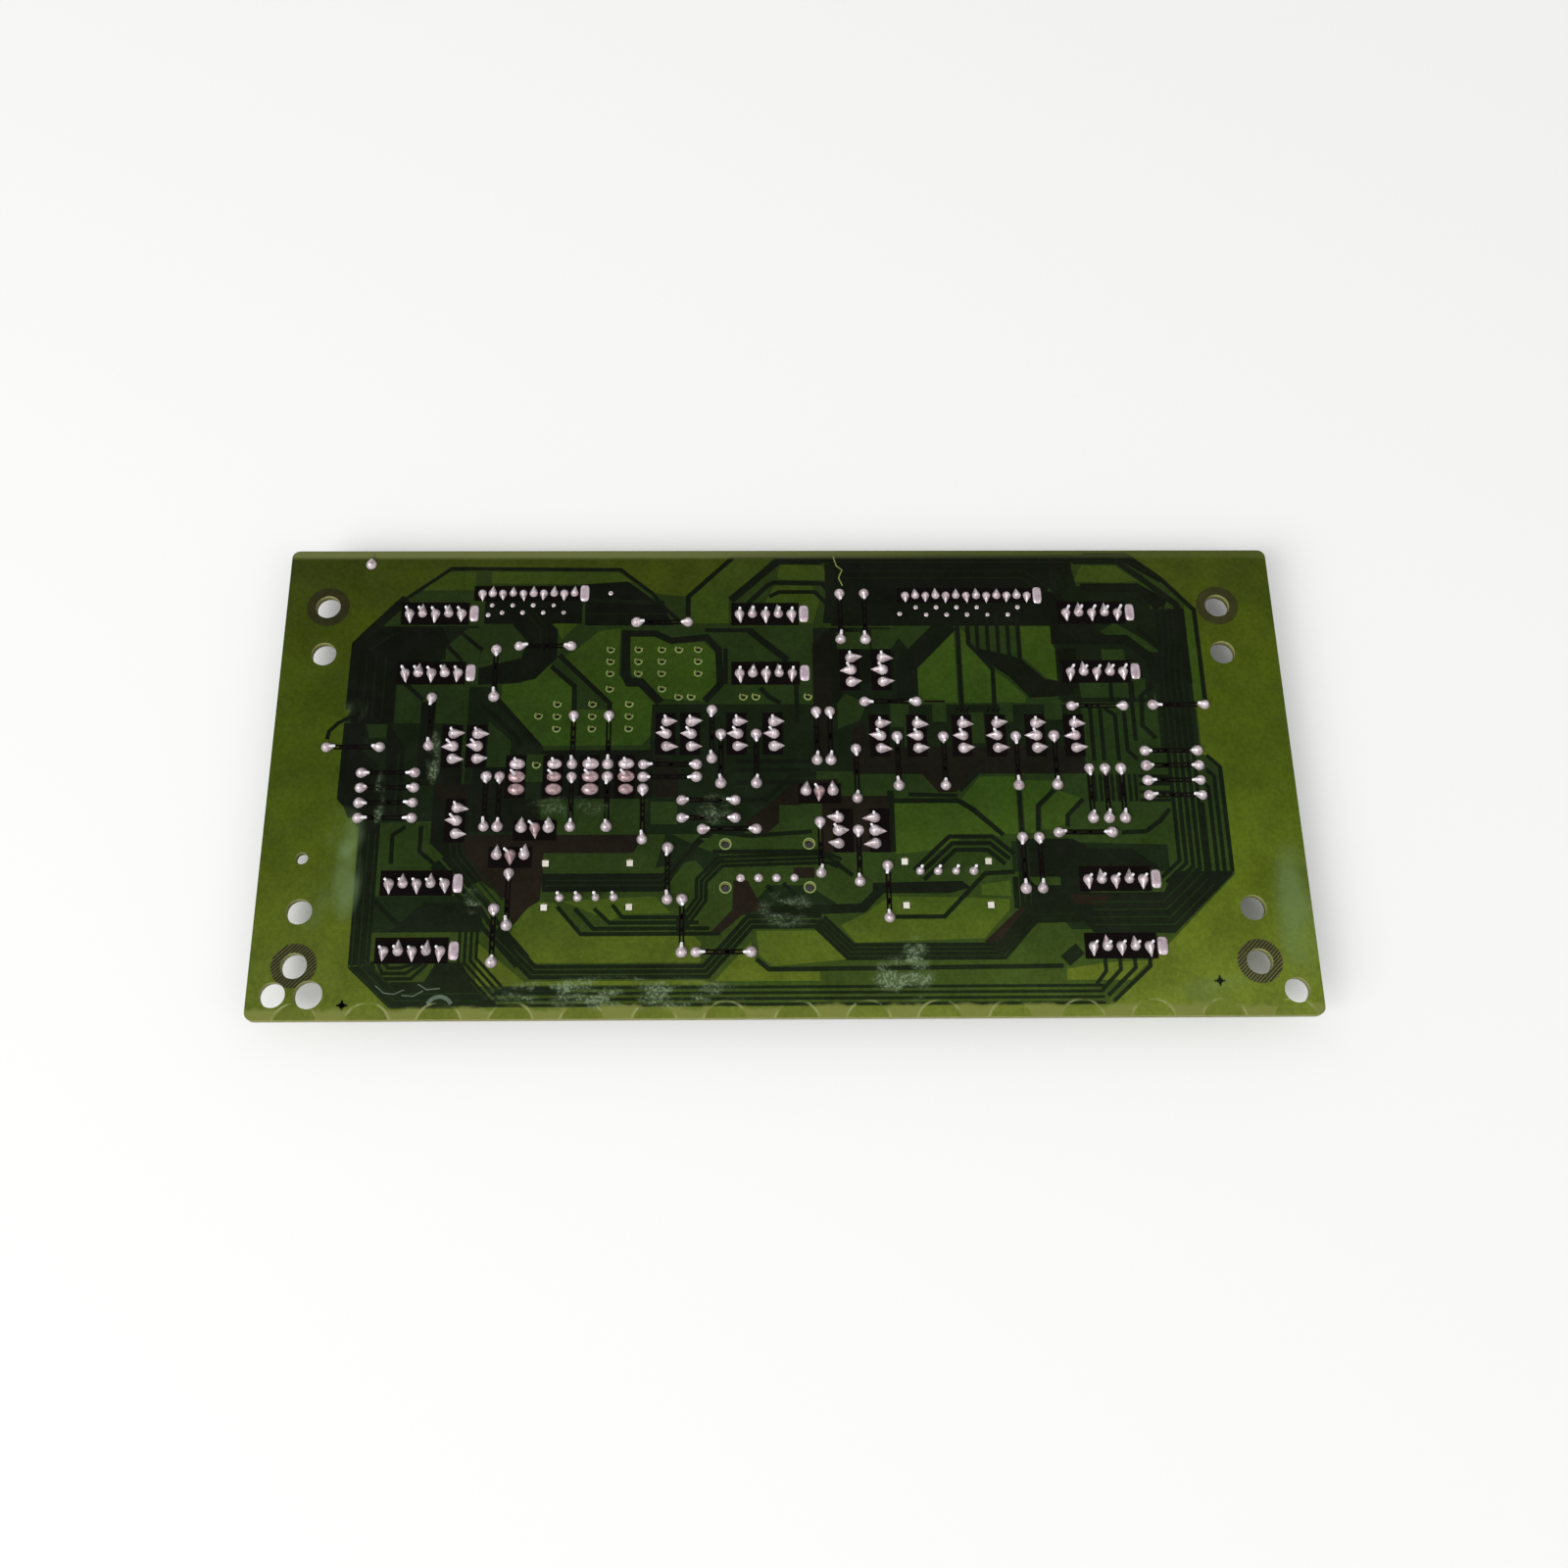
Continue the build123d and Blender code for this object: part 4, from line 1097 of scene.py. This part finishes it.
back_scratch = [(10.3, 45.7), (10.9, 43.6), (12, 42.6), (11.3, 40.9), (12, 39.2)]
scratches = [
    [(-73.6, -40.8), (-72, -42.2), (-70.2, -42.4), (-68.4, -41.6)],
    [(-68.8, -42.6), (-66.8, -42.8), (-65, -41.8)],
    [(-66, -40.6), (-64.4, -41.6), (-62, -41.4)],
]
scratch_width = 0.22
flux_arc = circle_points(-62, -45.2, 2.3, 12, 25, 130)


def make_pale_marks():
    shape = bmesh.new()
    high = legend_high + copper_step
    for x, y, radius in peg_holes:
        if in_empty_lamp(x):
            ring(shape, x, y, radius + 0.18, 0.24, legend_low, high, count=20)
    # Painted highlights: pale arcs round the lower left and right of each lead hole's rim
    for x, y, radius in lead_holes:
        line(shape, circle_points(x, y, radius + 0.2, 16, 130, 250), 0.26, legend_low, high)
    line(shape, back_scratch, scratch_width, legend_low, high)
    for scratch in scratches:
        line(shape, scratch, scratch_width, legend_low, high, 1)
    line(shape, flux_arc, 0.7, legend_low, high, 1)
    finish_piece("pale_marks", shape, [pale_scratch_and_highlight, flux_mark])


make_pale_marks()


# Copper rings of the four screw holes, with slanting strokes over the front two


hole_group_y = -1.2
half_screw_spacing = 35.9
ring_middle, ring_width = 3.25, 1.7
stroke_inner, stroke_outer = 2.45, 4.05
stroke_width = 0.22
stroke_step = 0.52


def hatched_ring(x, y):
    """Slanting strokes that fill a flat ring."""
    run = Vector((1, 1)).normalized()
    side = Vector((-run.y, run.x))
    strokes = []
    steps = int(stroke_outer / stroke_step)
    for number in range(-steps, steps + 1):
        offset = number * stroke_step
        far = math.sqrt(stroke_outer ** 2 - offset ** 2)
        near = math.sqrt(max(stroke_inner ** 2 - offset ** 2, 0))
        middle = Vector((x, y)) + side * offset
        for way in (-1, 1):
            strokes.append((stroke_width, [middle + run * near * way, middle + run * far * way]))
    return strokes


def make_screw_rings():
    solid, worn, hatching = [], [], []
    for x, y, _ in large_holes:
        if abs(abs(y - hole_group_y) - half_screw_spacing) < 0.3:
            if y > 0:
                solid.append((x, y, ring_middle, ring_width))
            else:
                worn.append((x, y, ring_middle, ring_width))
                hatching += hatched_ring(x, y)
    copper_layer("solid_screw_rings", 5, solid_ring, rings=solid)
    copper_layer("worn_screw_rings", 5, worn_ring, rings=worn)
    copper_layer("hatching_of_screw_rings", 6, dark_lacquer, lines=hatching)


make_screw_rings()


# Solder joints: a skirt that runs out to a tail, with the cut end of the lead in it


joint_foot = board_top - 0.02

# Radius, reach of the tail and height of each kind of joint
digit_solder = (0.98, 2.2, 1.2)
connector_solder = (0.84, 1.7, 1.1)
transistor_solder = (1.1, 2.3, 1.3)
pair_solder = (1.06, 1.6, 1.15)

# The row of transistors whose joints are flooded into broad ovals
flooded_row_y = -0.9
flooded_radius = 1.55
flooded_squeeze = 0.74


def skirt_radius(angle, radius, tail):
    """A round joint drawn out to a point: the circle and the two lines that touch it from the tail's tip."""
    if tail <= radius:
        return radius
    touching = math.acos(radius / tail)
    away = abs(math.remainder(angle, 2 * math.pi))
    return radius / math.cos(touching - away) if away < touching else radius


def solder_skirt(shape, x, y, turn, radius, tail, height, material=0, squeeze=1.0, fullness=1.7):
    """A joint's solder, drawn as rows from its rim up to its top, squeezed across its tail."""
    around = 24
    rows = []
    for level in (1.0, 0.93, 0.8, 0.62, 0.42, 0.2):
        z = joint_foot + height * (1 - level ** fullness) ** 0.9
        row = []
        for number in range(around):
            angle = 2 * math.pi * number / around
            reach = skirt_radius(angle, radius, tail) * level
            corner = turned(x, y, reach * math.cos(angle), reach * math.sin(angle) * squeeze, turn)
            row.append(shape.verts.new((*corner, z)))
        rows.append(row)
    add_face(shape, rows[0], material)
    stitch(shape, rows, material, True)
    peak = shape.verts.new((x, y, joint_foot + height))
    top = rows[-1]
    for here in range(around):
        add_face(shape, (top[here], top[(here + 1) % around], peak), material, True)


def varied_joint(shape, joint, size, wobble=0.0, spread=0.05, material=0, fullness=1.7):
    x, y, turn = joint
    radius, tail, height = size
    if wobble:
        turn += random.uniform(-wobble, wobble)
    solder_skirt(
        shape, x, y, turn, vary(radius, spread), vary(tail), vary(height), material, fullness=fullness
    )


def lead_end(shape, x, y, height, lean_x, lean_y, radius, material=1):
    foot = (x, y, board_top + 0.3)
    tip = (x + lean_x, y + lean_y, board_top + height - radius)
    bar(shape, foot, tip, radius, material)


def make_digit_joints():
    shape = bmesh.new()
    for joint in digit_joints:
        x, y, _ = joint
        varied_joint(shape, joint, digit_solder, 7)
        in_left_column = x < -40
        lean = vary(-0.22 if in_left_column else 0.12, 0.5)
        lead_end(shape, x, y, joint_reach - 0.1, lean, random.uniform(0, 0.25), 0.28)
    finish_piece("digit_solder", shape, [solder, cut_lead], "digit_joints")


def make_connector_joints():
    shape = bmesh.new()
    for joint in connector_joints:
        varied_joint(shape, joint, connector_solder, 6)
    finish_piece("connector_solder", shape, [solder], "connector_joints")


def make_transistor_joints():
    """The lower two of a flooded three are pinker than the rest, and so is the middle of a level three."""
    shape = bmesh.new()
    plain, pink = 0, 2
    for name in transistor_names:
        x, y, upright = transistor_place(name)
        near = [joint for joint in transistor_joints if math.hypot(joint[0] - x, joint[1] - y) < 2.8]
        near.sort(key=lambda joint: joint[1] if upright else joint[0])
        flooded = upright and abs(y - flooded_row_y) < 0.3
        for number, joint in enumerate(near):
            joint_x, joint_y, _ = joint
            tint = pink if (flooded and number < 2) or (not upright and number == 1) else plain
            if flooded:
                radius, height = vary(flooded_radius), vary(1.0)
                solder_skirt(shape, joint_x, joint_y, 0, radius, 0, height, tint, flooded_squeeze, 2.6)
            else:
                varied_joint(shape, joint, transistor_solder, 8, material=tint)
            if number:
                height, lean = (2.3, -0.85) if number == 1 else (1.9, -0.3)
                lead_end(shape, joint_x, joint_y + 0.1, height, lean, 0.45, 0.26)
    materials = [solder, cut_lead, pink_solder]
    finish_piece("transistor_solder", shape, materials, "transistor_joints")


def make_pair_joints():
    """Two-lead joints: the wire is bent over towards its other end before it is cut."""
    shape = bmesh.new()
    for joint in pair_joints:
        x, y, turn = joint
        varied_joint(shape, joint, pair_solder, spread=0.06, fullness=2.0)
        bend = turn + random.uniform(-10, 10)
        reach = random.uniform(1.1, 1.7)
        if joint != lone_joint:
            tip = (*turned(x, y, reach, 0, bend), board_top + 0.5)
            bar(shape, (x, y, board_top + 0.55), tip, 0.3, 1)
    finish_piece("pair_solder", shape, [solder, cut_lead], "two_lead_joints")


def make_lamp_joints():
    """Low beads on the empty lamp place, and balls on the ends of the leads elsewhere."""
    shape = bmesh.new()
    for x, y, _ in lamp_joints:
        bare = in_empty_lamp(x)
        solder_skirt(shape, x, y, 90, vary(0.8), 0.82, vary(0.7 if bare else 0.9), fullness=2.2)
        if not bare:
            lean = -0.1 if x < 0 else 0.1
            lead_end(shape, x, y, joint_reach - 0.2, lean, 0.1, 0.2)
            ball(shape, (x + lean, y + 0.1, board_top + joint_reach - 0.35), 0.33, 1)
    finish_piece("lamp_solder", shape, [solder, cut_lead], "lamp_joints")


def cushion(shape, x, y, half_width, half_depth, height, material=1):
    """A flat oblong pad of solder with a rounded edge."""
    around = 28
    squareness = 0.55
    rows = []
    for level in (1.0, 0.96, 0.85, 0.6, 0.3):
        z = joint_foot + height * (1 - level ** 5)
        row = []
        for number in range(around):
            angle = 2 * math.pi * number / around
            cosine, sine = math.cos(angle), math.sin(angle)
            along = math.copysign(abs(cosine) ** squareness, cosine) * half_width * level
            across = math.copysign(abs(sine) ** squareness, sine) * half_depth * level
            row.append(shape.verts.new((x + along, y + across, z)))
        rows.append(row)
    add_face(shape, rows[0], material, True)
    add_face(shape, rows[-1], material, True)
    stitch(shape, rows, material, True)


def make_pads():
    """The oblong pads that end each pin row are cushions, and the small filled holes are low beads."""
    shape = bmesh.new()
    shortest_oblong = 2
    for corners in solids_of("solder_pads"):
        low, high = extent(corners)
        x, y = ((low + high) / 2).to_2d()
        width, depth, _ = high - low
        if depth > shortest_oblong:
            cushion(shape, x, y, vary(width, 0.06) / 2, vary(depth, 0.05) / 2, high.z - board_top)
        else:
            ball(shape, (x, y, board_top), width / 2 * vary(1.05), 0, (1, 1, 0.5))
    finish_piece("pad_solder", shape, [solder, pad_solder], "solder_pads")


make_digit_joints()
make_connector_joints()
make_transistor_joints()
make_pair_joints()
make_lamp_joints()
make_pads()


# The hidden side


wire_radius = 0.22
wire_sides = 8
transistor_height = 4.6
transistor_radius = 2.35
flat_offset = 1.25
lead_pitch = 2.54
body_lead_pitch = 1.27
resistor_length, resistor_radius = 6.2, 1.1
diode_length, diode_radius = 4.2, 0.95


def make_transistor(name):
    """A body with one flat side, and three leads that spread from its top to the board."""
    upright = transistor_place(name)[2]
    corners = [vertex.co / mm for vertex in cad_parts[name].data.vertices]
    body_low = extent(corners)[0].z
    body_top = body_low + transistor_height
    lead_row = corner_middle([point for point in corners if point.z > board_bottom - 0.1])
    reaches = [point - lead_row for point in corners if point.z < body_top - 0.1]
    if upright:
        facing = 0 if max(reaches, key=lambda reach: abs(reach.x)).x > 0 else 180
    else:
        facing = 90 if max(reaches, key=lambda reach: abs(reach.y)).y > 0 else 270
    flat_angle = math.degrees(math.acos(flat_offset / transistor_radius))
    arc = circle_points(0, 0, transistor_radius, 24, flat_angle - 180, 360 - 2 * flat_angle)
    outline = [turned(lead_row.x, lead_row.y, along, across, facing) for along, across in arc]
    shape = bmesh.new()
    plate(shape, outline, body_low, body_top)
    for side in (-1, 0, 1):
        inner = turned(lead_row.x, lead_row.y, 0, side * body_lead_pitch, facing)
        outer = turned(lead_row.x, lead_row.y, 0, side * lead_pitch, facing)
        stops = [
            (*inner, body_top - 0.2), (*inner, body_top + 0.5), (*outer, board_bottom - 0.5),
            (*outer, board_bottom + 0.05),
        ]
        for start, end in zip(stops, stops[1:]):
            bar(shape, start, end, wire_radius, 1, wire_sides)
    piece = finish_piece(name + "_dressed", shape, [transistor_body, tin], name)
    add_bevel(piece, 0.12)


for transistor_name in transistor_names:
    make_transistor(transistor_name)


def axial_bodies(node, radius):
    """The middle of each two-lead part and whether it lies along X."""
    found = []
    for corners in solids_of(node):
        low, high = extent(corners)
        middle = (low + high) / 2
        found.append((middle.x, middle.y, low.z + radius, high.x - low.x > high.y - low.y))
    return found


def lathe(shape, profile, centre, level):
    """Turns a profile about a level axis. Each step is along, radius, and the material from there on."""
    sides = 16
    rows = []
    for along, radius, _ in profile:
        row = []
        for across, up in circle_points(0, 0, radius, sides):
            offset = (along, across, up) if level else (across, along, up)
            row.append(shape.verts.new(Vector(centre) + Vector(offset)))
        rows.append(row)
    end_material = profile[0][2]
    add_face(shape, rows[0], end_material)
    add_face(shape, rows[-1], end_material)
    for number, (_, _, material) in enumerate(profile[:-1]):
        stitch(shape, rows[number:number + 2], material, True)


def axial_wires(shape, x, y, z, level, half_body):
    for side in (-1, 1):
        end = side * pair_spacing / 2
        steps = [(side * half_body * 0.9, z), (end, z), (end, board_bottom)]
        stops = [(x + along, y, up) if level else (x, y + along, up) for along, up in steps]
        for start, stop in zip(stops, stops[1:]):
            bar(shape, start, stop, wire_radius, 1, wire_sides)


def make_resistors():
    """A dumbbell body with three bands of random colours and a gold one."""
    shape = bmesh.new()
    half = resistor_length / 2
    radius = resistor_radius
    waist = radius * 0.86
    body, gold = 0, 5
    for x, y, z, level in axial_bodies("resistors", radius):
        first, second, third = [random.randrange(2, gold) for _ in range(3)]
        profile = [
            (-half, radius * 0.55, body), (-half + 0.15, radius * 0.85, body), (-half + 0.5, radius, body),
            (-half + 1.1, radius, body), (-half + 1.5, waist, body), (-1.1, waist, first),
            (-0.7, waist, body), (-0.1, waist, second), (0.3, waist, body), (0.9, waist, third),
            (1.3, waist, body), (half - 1.5, waist, body), (half - 1.1, radius, gold),
            (half - 0.5, radius, body), (half - 0.15, radius * 0.85, body), (half, radius * 0.55, body),
        ]
        lathe(shape, profile, (x, y, z), level)
        axial_wires(shape, x, y, z, level, half)
    materials = [resistor_lacquer, tin, band_brown, band_black, band_red, band_gold]
    finish_piece("resistor_bodies", shape, materials, "resistors")


def make_diodes():
    """A plain round body with a black band near one end."""
    shape = bmesh.new()
    half = diode_length / 2
    radius = diode_radius
    body, band = 0, 2
    profile = [
        (-half, radius * 0.6, body), (-half + 0.2, radius, body), (-half + 0.6, radius, band),
        (-half + 1.1, radius, body), (half - 0.2, radius, body), (half, radius * 0.6, body),
    ]
    for x, y, z, level in axial_bodies("diodes", radius):
        lathe(shape, profile, (x, y, z), level)
        axial_wires(shape, x, y, z, level, half)
    finish_piece("diode_bodies", shape, [diode_glass, tin, band_black], "diodes")


make_resistors()
make_diodes()

# Digits, connectors and lamp blocks keep their modelled form. Word, ending, material and rounded edge
modelled_finishes = [
    ("digit", "_housing", digit_plastic, 0.25),
    ("connector", "_housing", connector_nylon, 0.15),
    ("lamp", "_housing", lamp_white, 0.2),
    ("lamp", "_lenses", lamp_milk, 0.15),
    ("digit", "_segments", digit_resin, 0),
    ("", "_pins", tin, 0),
    ("", "_leads", tin, 0),
]
for node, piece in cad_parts.items():
    for word, ending, material, edge in modelled_finishes:
        if word in node and node.endswith(ending):
            piece.data.materials.clear()
            piece.data.materials.append(material)
            if edge:
                add_bevel(piece, edge)


# Camera, at the photograph's place


camera_azimuth, camera_elevation, camera_roll = -2.456, 69.281, 2.107
camera_distance = 301.2
camera_target = (-4.22, -2.52, 10.1)


def way_to(azimuth, elevation):
    """The direction from the object towards a camera or a light. Azimuth 0 is in front of it."""
    side, lift = math.radians(azimuth), math.radians(elevation)
    return Vector((math.sin(side) * math.cos(lift), -math.cos(side) * math.cos(lift), math.sin(lift)))


def make_camera():
    back = way_to(camera_azimuth, camera_elevation)
    azimuth, roll = math.radians(camera_azimuth), math.radians(camera_roll)
    level_right = Vector((math.cos(azimuth), math.sin(azimuth), 0))
    level_up = back.cross(level_right)
    right = level_right * math.cos(roll) + level_up * math.sin(roll)
    up = level_up * math.cos(roll) - level_right * math.sin(roll)
    data = bpy.data.cameras.new("camera")
    data.sensor_width = 36
    data.lens = 36.83
    data.shift_x = 0.0142
    data.clip_start = 0.01
    data.clip_end = 10
    camera = bpy.data.objects.new("camera", data)
    turn = Matrix((right, up, back)).transposed().to_4x4()
    camera.matrix_world = Matrix.Translation((Vector(camera_target) + back * camera_distance) * mm) @ turn
    bpy.context.scene.collection.objects.link(camera)
    bpy.context.scene.camera = camera


make_camera()


# Floor, lights and surroundings


floor_reach = 1500
middle_glow, outer_glow = 0.03, 0.4
window_colour = (1, 1, 1, 1)
overhead_colour = (0.16, 0.16, 0.17, 1)
surroundings_colour = (0.45, 0.45, 0.45, 1)


def seen_directly(tree):
    """1 for rays from the camera and for those that gloss or glass sends on."""
    rays = add_node(tree, "LightPath").outputs
    seen = maths(tree, "MAXIMUM", rays["Is Camera Ray"], rays["Is Glossy Ray"])
    return maths(tree, "MAXIMUM", seen, rays["Is Transmission Ray"])


def make_floor():
    """Pale ground that also glows a little, least under the board so that its shadow stays."""
    material = bpy.data.materials.new("floor")
    material.use_nodes = True
    tree = material.node_tree
    tree.nodes.clear()
    x, y, _ = axes(tree)
    beside = ramp(tree, maths(tree, "ABSOLUTE", x), 88 * mm, 110 * mm)
    before = ramp(tree, maths(tree, "ABSOLUTE", y), 40 * mm, 60 * mm)
    glow_share = ramp(tree, maths(tree, "MAXIMUM", beside, before), 0, 1, middle_glow, outer_glow)
    diffuse = add_node(tree, "BsdfDiffuse", {"Color": (0.9, 0.9, 0.89, 1)})
    glow = add_node(tree, "Emission", {"Color": (1, 1, 1, 1), "Strength": 1.0})
    share = product(tree, seen_directly(tree), glow_share)
    mixed = add_node(tree, "MixShader", {0: share, 1: diffuse.outputs[0], 2: glow.outputs[0]})
    add_node(tree, "OutputMaterial", {"Surface": mixed.outputs[0]})
    shape = bmesh.new()
    bmesh.ops.create_grid(shape, x_segments=1, y_segments=1, size=floor_reach)
    new_object("floor", shape, [material])


def make_world():
    world = bpy.data.worlds.new("world")
    bpy.context.scene.world = world
    world.use_nodes = True
    tree = world.node_tree
    tree.nodes.clear()
    direction = add_node(tree, "TexCoord").outputs["Generated"]
    height = add_node(tree, "SeparateXYZ", {0: direction}).outputs[2]
    shown = blend(tree, ramp(tree, height, 0.35, 0.95), window_colour, overhead_colour)
    colour = blend(tree, seen_directly(tree), surroundings_colour, shown)
    background = add_node(tree, "Background", {"Color": colour, "Strength": 1.0})
    add_node(tree, "OutputWorld", {"Surface": background.outputs[0]})


def add_light(name, power, size, azimuth, elevation, distance):
    data = bpy.data.lights.new(name, "AREA")
    data.energy = power
    data.size = size * mm
    light = bpy.data.objects.new(name, data)
    back = way_to(azimuth, elevation)
    turn = back.to_track_quat("Z", "Y").to_matrix().to_4x4()
    light.matrix_world = Matrix.Translation(back * distance * mm) @ turn
    bpy.context.scene.collection.objects.link(light)


make_floor()
make_world()
add_light("window", 16.6, 800, -50, 42, 1500)
add_light("fill", 3.8, 900, 50, 50, 1500)

bpy.context.scene.view_settings.view_transform = "Standard"
